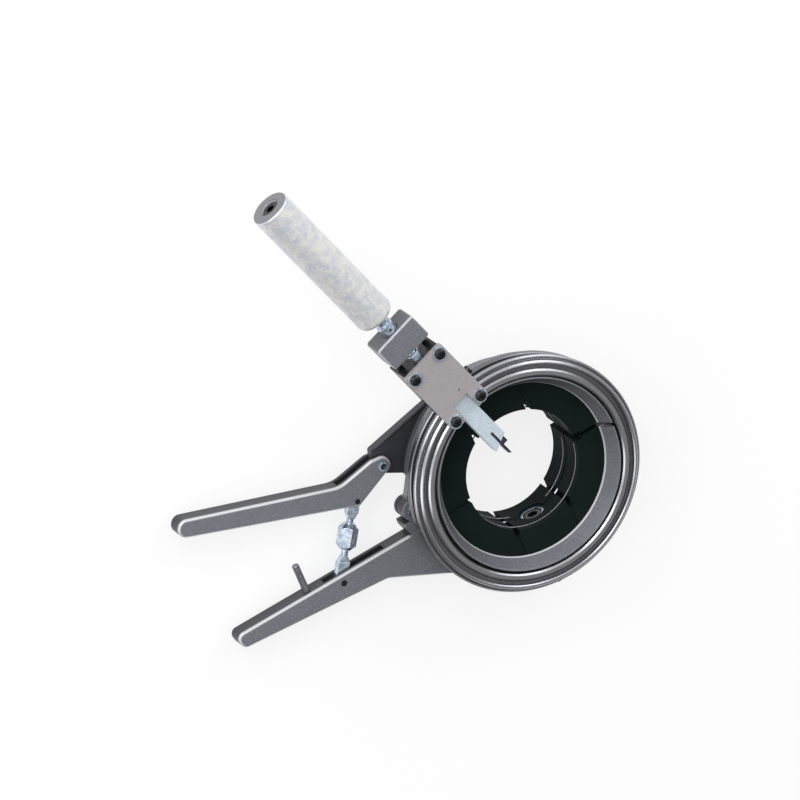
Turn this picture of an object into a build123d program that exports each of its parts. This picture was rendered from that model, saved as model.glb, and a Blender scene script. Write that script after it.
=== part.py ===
from build123d import *
import os
from math import atan2, cos, degrees, hypot, radians, sin, sqrt, tan

# Hand-held chamfering tool for plastic pipe. It lies on its back, with the pipe axis as +Z,
# the back face at z = 0 and +X and +Y across the ring. All sizes are in millimetres.
# A split collar with six jaws grips the pipe, a toggle handle closes it, and a tool carriage
# orbits on a fixed guide ring around it.

# Pipe, jaws and split collar
PIPE_DIAMETER = 90.0
JAW_THICKNESS = 20.4
JAW_LENGTH = 44.3
MIDDLE_JAW_WIDTH = 45.2
JAW_GAP = 0.4
JAW_NOTCH_WIDTH = 3.6
JAW_NOTCH_DEPTH = 6.0
SEAT_CLEARANCE = 0.1
COLLAR_WALL = 7.5
COLLAR_LENGTH = 57.0
CONE_START = 0.4
LIP_WIDTH = 1.0
SPLIT_ANGLE = 27.0
SPLIT_GAP = 0.4
OPEN_ANGLE = 1.2
WIRE_RADIUS = 0.8
WIRE_Z = 22.5
WIRE_GROOVE = 1.2
FLANGE_RADIUS = 83.5
FLANGE_BOTTOM = 25.5
FLANGE_TOP = 31.5

# Guide ring
RING_RADIUS = 90.3
RING_BORE_RADIUS = 75.2
RING_LIFT = 0.3
FRONT_GROOVE_WIDTH = 3.1
FRONT_GROOVE_DEPTH = 4.0
FRONT_GROOVE_INSET = 9.4
RIDGE_INSET = 3.1
RIDGE_GROOVE_WIDTH = 0.8
RIM_STEP = 4.0
RIM_CHAMFER = 0.8
LAND_CHAMFER = 1.3
RIM_DEPTH = 6.8
ROLLER_GROOVE_WIDTH = 9.2
ROLLER_GROOVE_INSET = 4.8
SECOND_RIM_WIDTH = 5.0
SECOND_RIM_INSET = 1.6
SECOND_RIM_STEP = 1.6
RING_SCREW_COUNT = 3
RING_SCREW_START = 262.0
RING_SCREW_STEP = 58.0
RING_SCREW_CIRCLE = 78.5
RING_SCREW_RADIUS = 2.5
RING_SCREW_HEAD_RADIUS = 4.2
RING_SCREW_SOCKET = 4.0
RING_SPACER_RADIUS = 4.2
RING_SCREW_DEPTH = 8.0

# Arms and handles: one thickness for both, with a slot between two cheeks
ARM_BOTTOM = 8.0
ARM_TOP = 24.0
FORK_WIDTH = 7.0
TONGUE_CLEARANCE = 0.3
LINK_THICKNESS = 6.0
EDGE_ROUNDING = 1.8
SKIN = 4.0
POCKET_WALL = 3.2
PIN_CLEARANCE = 0.05
PRESS_CLEARANCE = 0.02

# Points of the toggle linkage in the plane of the arms, with the handles open
HINGE = (-76.5, -31.5)
LEVER_PIVOT = (-102.7, 3.9)
LINK_TOP = (-121.3, -21.5)
LINK_BOTTOM = (-127.8, -83.3)
KNUCKLE_RADIUS = 8.2
KNUCKLE_LUG = 4.0
KNUCKLE_CLEARANCE = 0.4
HINGE_PIN_RADIUS = 4.0
PIVOT_PIN_RADIUS = 4.0
PIVOT_PIN_BORE = 2.2
LINK_PIN_RADIUS = 2.0
ANCHOR_PIN_RADIUS = 2.35
TONGUE_RADIUS = 7.0

# Outlines: x, y and corner radius of each corner
LEVER_OUTLINE = [
    (-260.6, -26.5, 6.6), (-136.3, -9.7, 22.0), (-112.7, 8.6, 7.0), (-102.5, 12.7, 6.5),
    (-94.8, 5.0, 5.5), (-118.6, -24.9, 2.0), (-262.6, -40.4, 6.6),
]
FIXED_HANDLE_OUTLINE = [
    (-211.2, -118.2, 5.0), (-61.0, -42.1, 0.0), (-30.0, -58.0, 0.0), (-34.0, -82.3, 0.0),
    (-92.5, -82.3, 9.0), (-203.6, -127.8, 5.0),
]
UPPER_ARM_OUTLINE = [
    (-50.0, 65.6, 0.0), (-111.5, 15.1, 2.0), (-109.5, 1.0, 2.0), (-97.2, -2.8, 1.5),
    (-83.5, -3.6, 2.0), (-79.4, -8.2, 1.5), (-80.6, -26.3, 1.0), (-62.0, -28.6, 0.0),
    (-50.0, 20.0, 0.0),
]
HINGE_ROOT_OUTLINE = [
    (-87.0, -33.0, 0.0), (-80.6, -45.8, 3.0), (-74.0, -52.0, 0.0), (-56.0, -42.0, 0.0),
    (-62.0, -28.0, 0.0), (-76.5, -26.0, 0.0),
]
LEVER_POCKET_SPAN = (-256.0, -147.0)
HANDLE_POCKET_SPAN = (-200.0, -163.0)
LEVER_FORK_END = -137.0
LINK_SLOT_SPAN = (-142.0, -96.0)
LINK_SLOT_DEPTH = 15.0
PEG_BASE = (-153.8, -90.2)
PEG_RADIUS = 2.7
PEG_REACH = 24.0
PEG_SEAT = 8.0

# Turnbuckle link, measured from its upper pin towards its lower one
EYE_RADIUS = 4.4
EYE_LENGTH = 10.5
ROD_RADIUS = 2.5
NUT_START = 18.7
NUT_END = 38.5
NUT_ACROSS_FLATS = 13.0
NUT_CONE = 2.4
NUT_WAIST = 4.2
ROD_ENGAGEMENT = 7.5
LOWER_EYE_START = 48.0
SLOT_TRAVEL = 2.3
ADJUST_TRAVEL = 1.0
SLOT_SIDE_CLEARANCE = 0.4

# Radial bolt of the middle jaw of each half
JAW_BOLT_Z = 21.5
JAW_BOLT_RADIUS = 5.0
BOLT_HEAD_RADIUS = 6.5
BOLT_HEAD_HEIGHT = 6.0
BOLT_HEAD_SEAT = 53.0
BUSH_RADIUS = 10.0
BUSH_BORE_RADIUS = 7.5
BUSH_START = 46.5
BOLT_BOSS_WIDTH = 20.5
BOLT_BOSS_TURN = 3.0
BOLT_BOSS_REACH = 102.0
BOLT_BOSS_BOTTOM = 12.0
BOLT_BOSS_TOP = 31.0
BOLT_BOSS_DEPTH = 6.0
UPPER_BOLT_END = 71.5
BOLT_SOCKET_RADIUS = 3.6

# Tool carriage, in its own directions: u away from the pipe axis, v along the ring, z up
CARRIAGE_ANGLE = 136.0
PLATE_INSET = 8.0
PLATE_LENGTH = 59.0
PLATE_WIDTH = 37.0
PLATE_RISE = 15.0
PLATE_THICKNESS = 4.0
PLATE_INNER_CORNER = 5.5
PLATE_OUTER_CORNER = 2.0
SCREW_PITCH_U = 48.0
SCREW_PITCH_V = 26.0
SCREW_HEAD_RADIUS = 4.15
SCREW_HEAD_HEIGHT = 2.4
SCREW_RADIUS = 2.0
SCREW_DEPTH = 8.0
SCREW_SOCKET_RADIUS = 1.45
WASHER_RADIUS = 5.6
WASHER_THICKNESS = 0.8
PLATE_SLOT_LENGTH = 15.0
PINHOLE_OFFSET = (21.2, -4.9)
PINHOLE_RADIUS = 0.7
BLOCK_WIDTH = 34.0
BLOCK_DROP = 11.0
SHOE_BASE = 2.0
RING_CLEARANCE = 0.7
CHANNEL_WALL = 6.5
SLIDE_CLEARANCE = 0.15
BAR_WIDTH = 14.0
BAR_HEIGHT = 10.2
BAR_START = 43.3
BAR_LENGTH = 69.5
BAR_BEVEL = 6.0
TOOL_TRAVEL_OUT = 12.0
SCREW_AXIS_DROP = 5.4
SHOE_RIM_INSET = 0.3
SHOE_HALF_ANGLE = 9.0
SHOE_CLEARANCE = 0.4
KEEPER_REACH = 12.7
KEEPER_HALF_ANGLE = 8.5
KEEPER_SCREW_RADIUS = 1.5
KEEPER_SCREW_HEAD = 2.8
KEEPER_SCREW_ANGLE = 5.0
KEEPER_SCREW_OFFSET = 6.7
YOKE_GAP = 11.3
YOKE_LENGTH = 20.8
YOKE_WIDTH = 35.6
YOKE_DROP = 2.0
YOKE_ROUNDING = 2.2
GUIDE_ROD_RADIUS = 2.5
GUIDE_ROD_PITCH = 26.0
GUIDE_ROD_SEAT = 11.0
GUIDE_ROD_DROP = 6.5
LOCK_SCREW_OFFSET = 20.5
LOCK_SCREW_DROP = 8.0
LOCK_SCREW_RADIUS = 2.0
LOCK_HEAD_RADIUS = 3.5
LOCK_HEAD_LENGTH = 5.0

# Feed spindle and grip
FEED_SCREW_RADIUS = 3.0
FEED_SCREW_INSET = 44.7
JOURNAL_RADIUS = 4.0
JOURNAL_INSET = 3.5
COLLAR_RADIUS = 6.4
COLLAR_POCKET_DEPTH = 4.0
COLLAR_REACH = 7.0
THRUST_CLEARANCE = 0.2
CLIP_RADIUS = 6.2
CLIP_THICKNESS = 1.2
GRIP_GAP = 15.4
GRIP_LENGTH = 124.2
GRIP_RADIUS = 14.65
GRIP_BORE_RADIUS = 10.5
GRIP_END_WALL = 12.0
GRIP_NEAR_ROUNDING = 3.9
GRIP_FAR_ROUNDING = 1.8
PLUG_LENGTH = 16.0
SPINDLE_TAIL = 24.0
END_SCREW_RADIUS = 2.5
END_SCREW_HEAD = 6.0
END_SCREW_HEIGHT = 5.0
END_RECESS_RADIUS = 7.6
END_RECESS_DEPTH = 6.5
END_SOCKET_RADIUS = 3.0
NUT_RADIUS = 4.6
FEED_NUT_LENGTH = 12.0

# Cutter
CUTTER_REACH = 10.4
CUTTER_WIDTH = 2.0
CUTTER_HEIGHT = 8.0
CUTTER_SEAT = 14.0
CUTTER_HOOK_LENGTH = 3.6
CUTTER_HOOK_WIDTH = 5.0
CLAMP_SCREW_RADIUS = 1.5
CLAMP_SCREW_INSET = 10.5

# Sizes that follow
BORE_RADIUS = PIPE_DIAMETER / 2
JAW_RADIUS = BORE_RADIUS + JAW_THICKNESS
SEAT_RADIUS = JAW_RADIUS + SEAT_CLEARANCE
COLLAR_RADIUS_OUT = SEAT_RADIUS + COLLAR_WALL
MIDDLE_JAW_HALF = MIDDLE_JAW_WIDTH / 2
RING_BOTTOM = FLANGE_TOP + RING_LIFT
FRONT_GROOVE_INNER = RING_RADIUS - FRONT_GROOVE_INSET
FRONT_GROOVE_OUTER = FRONT_GROOVE_INNER + FRONT_GROOVE_WIDTH
RIDGE_OUTER_EDGE = RING_RADIUS - RIDGE_INSET
RIM_BOTTOM = COLLAR_LENGTH - RIM_DEPTH
ROLLER_GROOVE_BOTTOM = RIM_BOTTOM - ROLLER_GROOVE_WIDTH
ROLLER_GROOVE_RADIUS = RING_RADIUS - ROLLER_GROOVE_INSET
SECOND_RIM_RADIUS = RING_RADIUS - SECOND_RIM_INSET
SECOND_RIM_BOTTOM = ROLLER_GROOVE_BOTTOM - SECOND_RIM_WIDTH
ARM_THICKNESS = ARM_TOP - ARM_BOTTOM
ARM_MIDDLE = (ARM_TOP + ARM_BOTTOM) / 2
TONGUE_THICKNESS = FORK_WIDTH - 2 * TONGUE_CLEARANCE
LINK_LENGTH = hypot(LINK_BOTTOM[0] - LINK_TOP[0], LINK_BOTTOM[1] - LINK_TOP[1])
LINK_ANGLE = degrees(atan2(LINK_BOTTOM[1] - LINK_TOP[1], LINK_BOTTOM[0] - LINK_TOP[0]))
PLATE_START = RING_RADIUS - PLATE_INSET
PLATE_END = PLATE_START + PLATE_LENGTH
PLATE_BOTTOM = COLLAR_LENGTH + PLATE_RISE
PLATE_TOP = PLATE_BOTTOM + PLATE_THICKNESS
PINHOLE = (PLATE_START + PINHOLE_OFFSET[0], PINHOLE_OFFSET[1])
BLOCK_BOTTOM = COLLAR_LENGTH - BLOCK_DROP
BLOCK_OVER_RING = COLLAR_LENGTH + SHOE_BASE
CHANNEL_END = PLATE_END - CHANNEL_WALL
LOCK_SCREW_U = PLATE_START + LOCK_SCREW_OFFSET
SHOE_TOP_RADIUS = RING_RADIUS - SHOE_RIM_INSET
KEEPER_OUTER = RING_RADIUS + KEEPER_REACH
KEEPER_SCREW_CIRCLE = RING_RADIUS + KEEPER_SCREW_OFFSET
PLATE_MIDDLE = (PLATE_START + PLATE_END) / 2
BAR_TOP = PLATE_BOTTOM - SLIDE_CLEARANCE
BAR_BOTTOM = BAR_TOP - BAR_HEIGHT
BAR_END = BAR_START + BAR_LENGTH
SPINDLE_Z = BAR_TOP - SCREW_AXIS_DROP
FEED_SCREW_START = BAR_START + FEED_SCREW_INSET
JOURNAL_START = PLATE_END - JOURNAL_INSET
YOKE_START = PLATE_END + YOKE_GAP
YOKE_END = YOKE_START + YOKE_LENGTH
YOKE_BOTTOM = COLLAR_LENGTH - YOKE_DROP
GRIP_START = YOKE_END + GRIP_GAP
GRIP_END = GRIP_START + GRIP_LENGTH
KEEPER_BOTTOM = BLOCK_BOTTOM
KEEPER_TOP = RIM_BOTTOM - SHOE_CLEARANCE
TOOL_Z = (BAR_TOP + BAR_BOTTOM) / 2
CUTTER_TIP = BAR_START - CUTTER_REACH
FAR = 2 * GRIP_END


def box(x0, x1, y0, y1, z0, z1):
    """Box between two corners."""
    return Pos((x0 + x1) / 2, (y0 + y1) / 2, (z0 + z1) / 2) * Box(x1 - x0, y1 - y0, z1 - z0)


def disc(centre, radius, z0, z1):
    """Upright cylinder about a point of the XY plane."""
    return Pos(centre[0], centre[1], (z0 + z1) / 2) * Cylinder(radius, z1 - z0)


def tube(outer, inner, z0, z1):
    """Upright tube about the pipe axis."""
    return disc((0, 0), outer, z0, z1) - disc((0, 0), inner, z0, z1)


def along(origin, direction, shape):
    """Place a shape drawn along +Z so that it runs from origin in a direction."""
    return Plane(origin=origin, z_dir=direction) * shape


def rod(origin, direction, radius, start, end):
    """Round bar from start to end, measured from origin in a direction."""
    return along(origin, direction, Pos(0, 0, (start + end) / 2) * Cylinder(radius, end - start))


def hexagon(across_flats, z0, z1):
    """Upright hexagonal bar about the Z axis."""
    sketch = RegularPolygon(across_flats / 2, 6, major_radius=False)
    return Pos(0, 0, z0) * extrude(sketch, z1 - z0)


def corner_points(before, corner, after, radius):
    """Start, middle and end of the arc that rounds a corner."""
    legs = []
    for other in (before, after):
        dx, dy = other[0] - corner[0], other[1] - corner[1]
        length = hypot(dx, dy)
        legs.append((dx / length, dy / length))
    half = atan2(abs(legs[0][0] * legs[1][1] - legs[0][1] * legs[1][0]),
                 legs[0][0] * legs[1][0] + legs[0][1] * legs[1][1]) / 2
    reach = radius / tan(half)
    ends = [(corner[0] + leg[0] * reach, corner[1] + leg[1] * reach) for leg in legs]
    bisector = (legs[0][0] + legs[1][0], legs[0][1] + legs[1][1])
    size = hypot(*bisector)
    inset = radius / sin(half) - radius
    middle = (corner[0] + bisector[0] / size * inset, corner[1] + bisector[1] / size * inset)
    return ends[0], middle, ends[1]


def outline(corners):
    """Face inside a polygon whose corners are (x, y, radius)."""
    count = len(corners)
    edges, stops = [], []
    for i, (x, y, radius) in enumerate(corners):
        if radius > 0:
            start, middle, end = corner_points(corners[i - 1], (x, y), corners[(i + 1) % count], radius)
            edges.append(ThreePointArc(start, middle, end))
            stops.append((start, end))
        else:
            stops.append(((x, y), (x, y)))
    for i in range(count):
        edges.append(Line(stops[i][1], stops[(i + 1) % count][0]))
    return make_face(Wire(edges))


def ring_sector(profile, start, sweep):
    """Revolve a profile of (radius, z) corners through part of a turn from an angle."""
    face = make_face(Polyline(*[(r, 0, z) for r, z in profile], close=True))
    return Rot(0, 0, start) * revolve(face, Axis.Z, sweep)


def radial_slab(angle, r0, r1, width, z0, z1):
    """Thin upright slab that runs out from the axis at an angle."""
    return Rot(0, 0, angle) * box(r0, r1, -width / 2, width / 2, z0, z1)


def at_angle(angle, radius):
    """Point of the XY plane at an angle and radius."""
    return radius * cos(radians(angle)), radius * sin(radians(angle))


def opened(shape):
    """Swing a piece of the upper half about the hinge from closed to open."""
    return Pos(*HINGE) * Rot(0, 0, OPEN_ANGLE) * Pos(-HINGE[0], -HINGE[1]) * shape


def half_start(upper):
    """Angle where the lower or the upper half begins."""
    return SPLIT_ANGLE if upper else SPLIT_ANGLE + 180.0


def placed_half(shape, upper):
    """Lower pieces stay, and upper pieces take the open position."""
    return opened(shape) if upper else shape


def bolt_direction(upper):
    """Angle of the middle jaw of a half."""
    return half_start(upper) + 90.0


def collar_half(upper):
    """Half of the split collar, with its front cone and its flange."""
    cone_z = JAW_LENGTH + CONE_START
    profile = [
        (SEAT_RADIUS, 0), (COLLAR_RADIUS_OUT, 0), (COLLAR_RADIUS_OUT, FLANGE_BOTTOM),
        (FLANGE_RADIUS, FLANGE_BOTTOM), (FLANGE_RADIUS, FLANGE_TOP),
        (COLLAR_RADIUS_OUT, FLANGE_TOP), (COLLAR_RADIUS_OUT, COLLAR_LENGTH),
        (COLLAR_RADIUS_OUT - LIP_WIDTH, COLLAR_LENGTH), (SEAT_RADIUS, cone_z),
    ]
    start = half_start(upper)
    half = ring_sector(profile, start, 180.0)
    for angle in (start, start + 180.0):
        half -= radial_slab(angle, BORE_RADIUS, RING_RADIUS + KNUCKLE_RADIUS, SPLIT_GAP,
                            -1, COLLAR_LENGTH + 1)
    return half


def middle_slab(upper, half_width, r1):
    """Upright slab with parallel sides, out from the axis towards the middle jaw's bolt."""
    return Rot(0, 0, bolt_direction(upper)) * box(0, r1, -half_width, half_width, -1, JAW_LENGTH + 1)


def jaw(upper, side):
    """Middle jaw (side 0) or one beside it (side -1 or 1), notched where two jaws meet."""
    profile = [(BORE_RADIUS, 0), (JAW_RADIUS, 0), (JAW_RADIUS, JAW_LENGTH), (BORE_RADIUS, JAW_LENGTH)]
    body = ring_sector(profile, half_start(upper), 180.0)
    turn = Rot(0, 0, bolt_direction(upper))
    if side == 0:
        body &= middle_slab(upper, MIDDLE_JAW_HALF - JAW_GAP / 2, COLLAR_RADIUS_OUT)
    else:
        body -= middle_slab(upper, MIDDLE_JAW_HALF + JAW_GAP / 2, COLLAR_RADIUS_OUT)
        ends = sorted((side * JAW_GAP / 2, side * COLLAR_RADIUS_OUT))
        body &= turn * box(JAW_GAP / 2, COLLAR_RADIUS_OUT, *ends, -1, JAW_LENGTH + 1)
        split = bolt_direction(upper) + side * 90.0
        body -= radial_slab(split, 0, BORE_RADIUS + JAW_NOTCH_DEPTH, JAW_NOTCH_WIDTH, -1, JAW_LENGTH + 1)
    notch_end = sqrt(BORE_RADIUS ** 2 - MIDDLE_JAW_HALF ** 2) + JAW_NOTCH_DEPTH
    for y in (-MIDDLE_JAW_HALF, MIDDLE_JAW_HALF):
        body -= turn * box(0, notch_end, y - JAW_NOTCH_WIDTH / 2, y + JAW_NOTCH_WIDTH / 2,
                           -1, JAW_LENGTH + 1)
    half_groove = WIRE_RADIUS + SEAT_CLEARANCE
    body -= tube(BORE_RADIUS + 2 * WIRE_GROOVE, BORE_RADIUS - 1,
                 WIRE_Z - half_groove, WIRE_Z + half_groove)
    if side == 0:
        out = (*at_angle(bolt_direction(upper), 1), 0)
        axis_point = (0, 0, JAW_BOLT_Z)
        body -= rod(axis_point, out, BUSH_RADIUS + PRESS_CLEARANCE, 0, BOLT_HEAD_SEAT)
        body -= rod(axis_point, out, JAW_BOLT_RADIUS + SEAT_CLEARANCE, 0, COLLAR_RADIUS_OUT)
    return placed_half(body, upper)


def retaining_wire(upper):
    """Spring wire in the bore groove of one half, on both sides of the middle bush."""
    start = half_start(upper)
    radius = BORE_RADIUS + 2 * WIRE_GROOVE - WIRE_RADIUS - SEAT_CLEARANCE
    bush_angle = degrees(BUSH_RADIUS / radius) + 4.0
    inset = degrees(JAW_NOTCH_WIDTH / radius)
    wires = []
    for first, last in ((start + inset, start + 90.0 - bush_angle),
                        (start + 90.0 + bush_angle, start + 180.0 - inset)):
        section = Plane.XZ * Pos(radius, WIRE_Z) * Circle(WIRE_RADIUS)
        wires.append(placed_half(Rot(0, 0, first) * revolve(section, Axis.Z, last - first), upper))
    return Compound(children=wires)


def jaw_bush(upper):
    """Bright bush that lines the counterbore of the middle jaw."""
    out = (*at_angle(bolt_direction(upper), 1), 0)
    axis_point = (0, 0, JAW_BOLT_Z)
    bush = rod(axis_point, out, BUSH_RADIUS, BUSH_START, BOLT_HEAD_SEAT)
    bush -= rod(axis_point, out, BUSH_BORE_RADIUS, BUSH_START - 1, BOLT_HEAD_SEAT + 1)
    return placed_half(bush, upper)


def jaw_bolt(upper):
    """Socket-head bolt that pulls the middle jaw against the collar."""
    out = (*at_angle(bolt_direction(upper), 1), 0)
    axis_point = (0, 0, JAW_BOLT_Z)
    end = UPPER_BOLT_END if upper else BOLT_BOSS_REACH - BOLT_BOSS_DEPTH
    head_top = BOLT_HEAD_SEAT - BOLT_HEAD_HEIGHT
    bolt = rod(axis_point, out, BOLT_HEAD_RADIUS, head_top, BOLT_HEAD_SEAT)
    bolt += rod(axis_point, out, JAW_BOLT_RADIUS, BOLT_HEAD_SEAT, end)
    socket = hexagon(2 * BOLT_SOCKET_RADIUS, head_top - 1, head_top + BOLT_HEAD_HEIGHT / 2)
    bolt -= along(axis_point, out, socket)
    return placed_half(bolt, upper)


def bolt_hole(upper):
    """Clearance hole through the collar for the middle jaw's bolt."""
    out = (*at_angle(bolt_direction(upper), 1), 0)
    return rod((0, 0, JAW_BOLT_Z), out, JAW_BOLT_RADIUS + PIN_CLEARANCE, BORE_RADIUS,
               BOLT_BOSS_REACH + 1)


def rounded_arm(corners, rounding):
    """Cast arm with the edges of both faces rounded."""
    body = Pos(0, 0, ARM_BOTTOM) * extrude(outline(corners), ARM_THICKNESS)
    edges = body.edges().group_by(Axis.Z)
    return fillet(edges[0] + edges[-1], rounding)


def pocket(corners, span):
    """Hollow in the back of a cast handle, between two x values."""
    face = offset(outline(corners), -POCKET_WALL)
    hollow = Pos(0, 0, ARM_BOTTOM - 1) * extrude(face, ARM_THICKNESS - SKIN + 1)
    return hollow & box(span[0], span[1], -FAR, FAR, -1, ARM_TOP)


def fork_slot(x0, x1):
    """Room for a tongue or a link eye between the cheeks of an arm."""
    return box(x0, x1, -FAR, FAR, ARM_MIDDLE - FORK_WIDTH / 2, ARM_MIDDLE + FORK_WIDTH / 2)


def hinge_lugs(radius, clearance):
    """The two outer lugs of the hinge."""
    lower = disc(HINGE, radius, ARM_BOTTOM - clearance, ARM_BOTTOM + KNUCKLE_LUG + clearance)
    upper = disc(HINGE, radius, ARM_TOP - KNUCKLE_LUG - clearance, ARM_TOP + clearance)
    return lower + upper


def middle_lug(radius, clearance):
    """The middle lug of the hinge."""
    inset = KNUCKLE_LUG + TONGUE_CLEARANCE - clearance
    return disc(HINGE, radius, ARM_BOTTOM + inset, ARM_TOP - inset)


def below_split():
    """Everything on the lower side of the split plane."""
    return Rot(0, 0, SPLIT_ANGLE) * box(-FAR, FAR, -FAR, -SPLIT_GAP / 2, -1, COLLAR_LENGTH)


def handle_direction():
    """Unit vector square to the top edge of the fixed handle."""
    (x0, y0, _), (x1, y1, _) = FIXED_HANDLE_OUTLINE[:2]
    length = hypot(x1 - x0, y1 - y0)
    return -(y1 - y0) / length, (x1 - x0) / length


def link_slot():
    """Slot in the top of the fixed handle for the lower link eye."""
    nx, ny = handle_direction()
    angle = degrees(atan2(ny, nx)) - 90.0
    x0, x1 = LINK_SLOT_SPAN
    (hx, hy, _), (kx, ky, _) = FIXED_HANDLE_OUTLINE[:2]
    slope = (ky - hy) / (kx - hx)
    middle = (x0 + x1) / 2
    top = hy + slope * (middle - hx)
    half = (x1 - x0) / 2 / cos(radians(angle))
    room = box(-half, half, -LINK_SLOT_DEPTH, LINK_SLOT_DEPTH,
               ARM_MIDDLE - FORK_WIDTH / 2, ARM_MIDDLE + FORK_WIDTH / 2)
    return Pos(middle, top) * Rot(0, 0, angle) * room


def ring_screw_angles():
    """Angles of the screws that hold the guide ring."""
    return [RING_SCREW_START + i * RING_SCREW_STEP for i in range(RING_SCREW_COUNT)]


def bolt_boss():
    """Square boss on the lower half around the end of the jaw bolt."""
    half = BOLT_BOSS_WIDTH / 2
    boss = box(SEAT_RADIUS, BOLT_BOSS_REACH, -half, half, BOLT_BOSS_BOTTOM, BOLT_BOSS_TOP)
    boss = chamfer(boss.edges().group_by(Axis.X)[-1], RIM_CHAMFER)
    boss = Rot(0, 0, bolt_direction(False) + BOLT_BOSS_TURN) * boss
    return boss - disc((0, 0), COLLAR_RADIUS_OUT - 1, -1, COLLAR_LENGTH)


def lower_clamp_casting():
    """Lower half of the collar, with the fixed handle, the hinge lugs and the bolt boss."""
    root = Pos(0, 0, ARM_BOTTOM) * extrude(outline(HINGE_ROOT_OUTLINE), ARM_THICKNESS)
    arm = (rounded_arm(FIXED_HANDLE_OUTLINE, EDGE_ROUNDING) + root) & below_split()
    arm -= pocket(FIXED_HANDLE_OUTLINE, HANDLE_POCKET_SPAN)
    arm += hinge_lugs(KNUCKLE_RADIUS, 0)
    arm -= middle_lug(KNUCKLE_RADIUS + KNUCKLE_CLEARANCE, TONGUE_CLEARANCE)
    arm -= disc((0, 0), SEAT_RADIUS + COLLAR_WALL / 2, -1, COLLAR_LENGTH)
    casting = collar_half(False) + arm + bolt_boss()
    casting -= middle_lug(KNUCKLE_RADIUS + KNUCKLE_CLEARANCE, TONGUE_CLEARANCE)
    casting -= link_slot()
    casting -= disc(HINGE, HINGE_PIN_RADIUS + PRESS_CLEARANCE, -1, FLANGE_BOTTOM)
    casting -= disc(LINK_BOTTOM, ANCHOR_PIN_RADIUS + PRESS_CLEARANCE, -1, FLANGE_BOTTOM)
    nx, ny = handle_direction()
    casting -= rod((PEG_BASE[0], PEG_BASE[1], ARM_MIDDLE), (nx, ny, 0),
                   PEG_RADIUS + PRESS_CLEARANCE, -PEG_SEAT, PEG_REACH)
    casting -= bolt_hole(False)
    for angle in ring_screw_angles():
        casting -= disc(at_angle(angle, RING_SCREW_CIRCLE), RING_SCREW_RADIUS + PIN_CLEARANCE,
                        FLANGE_BOTTOM - 1, RING_BOTTOM)
    return casting


def upper_clamp_casting():
    """Upper half of the collar, with the arm that carries the lever and the middle hinge lug."""
    casting = opened(collar_half(True))
    tongue_bottom = ARM_MIDDLE - TONGUE_THICKNESS / 2
    web = extrude(outline(UPPER_ARM_OUTLINE), TONGUE_THICKNESS)
    web += Pos(*LEVER_PIVOT) * extrude(Circle(TONGUE_RADIUS), TONGUE_THICKNESS)
    web = Pos(0, 0, tongue_bottom) * web
    arm = web + middle_lug(KNUCKLE_RADIUS - KNUCKLE_CLEARANCE / 2, 0)
    arm -= disc((0, 0), SEAT_RADIUS + COLLAR_WALL / 2, -1, COLLAR_LENGTH)
    casting += arm
    casting -= hinge_lugs(KNUCKLE_RADIUS + KNUCKLE_CLEARANCE, TONGUE_CLEARANCE)
    casting -= disc(HINGE, HINGE_PIN_RADIUS + PIN_CLEARANCE, -1, FLANGE_BOTTOM)
    casting -= disc(LEVER_PIVOT, PIVOT_PIN_RADIUS + PRESS_CLEARANCE, -1, FLANGE_BOTTOM)
    casting -= opened(bolt_hole(True))
    return casting


def guide_ring():
    """Fixed machined ring with a grooved front and a groove around its rim."""
    top = COLLAR_LENGTH
    groove_floor = top - FRONT_GROOVE_DEPTH
    rim_top = top - RIM_STEP
    profile = [
        (RING_BORE_RADIUS, RING_BOTTOM), (RING_BORE_RADIUS, top - LAND_CHAMFER),
        (RING_BORE_RADIUS + LAND_CHAMFER, top), (FRONT_GROOVE_INNER - LAND_CHAMFER, top),
        (FRONT_GROOVE_INNER, top - LAND_CHAMFER), (FRONT_GROOVE_INNER, groove_floor),
        (FRONT_GROOVE_OUTER, groove_floor), (FRONT_GROOVE_OUTER, top - RIM_CHAMFER),
        (FRONT_GROOVE_OUTER + RIM_CHAMFER, top), (RIDGE_OUTER_EDGE - LAND_CHAMFER, top),
        (RIDGE_OUTER_EDGE, top - LAND_CHAMFER), (RIDGE_OUTER_EDGE, rim_top - RIM_CHAMFER),
        (RIDGE_OUTER_EDGE + RIDGE_GROOVE_WIDTH, rim_top - RIM_CHAMFER),
        (RIDGE_OUTER_EDGE + 2 * RIDGE_GROOVE_WIDTH, rim_top),
        (RING_RADIUS - RIM_CHAMFER, rim_top), (RING_RADIUS, rim_top - RIM_CHAMFER),
        (RING_RADIUS, RIM_BOTTOM),
        (ROLLER_GROOVE_RADIUS, RIM_BOTTOM), (ROLLER_GROOVE_RADIUS, ROLLER_GROOVE_BOTTOM),
        (SECOND_RIM_RADIUS - RIM_CHAMFER, ROLLER_GROOVE_BOTTOM),
        (SECOND_RIM_RADIUS, ROLLER_GROOVE_BOTTOM - RIM_CHAMFER),
        (SECOND_RIM_RADIUS, SECOND_RIM_BOTTOM),
        (ROLLER_GROOVE_RADIUS, SECOND_RIM_BOTTOM - SECOND_RIM_STEP),
        (ROLLER_GROOVE_RADIUS, RING_BOTTOM),
    ]
    face = make_face(Polyline(*[(r, 0, z) for r, z in profile], close=True))
    ring = revolve(face, Axis.Z, 360)
    for angle in ring_screw_angles():
        ring -= disc(at_angle(angle, RING_SCREW_CIRCLE), RING_SCREW_RADIUS + PRESS_CLEARANCE,
                     RING_BOTTOM - 1, RING_BOTTOM + RING_SCREW_DEPTH + RIM_CHAMFER)
    return ring


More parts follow.
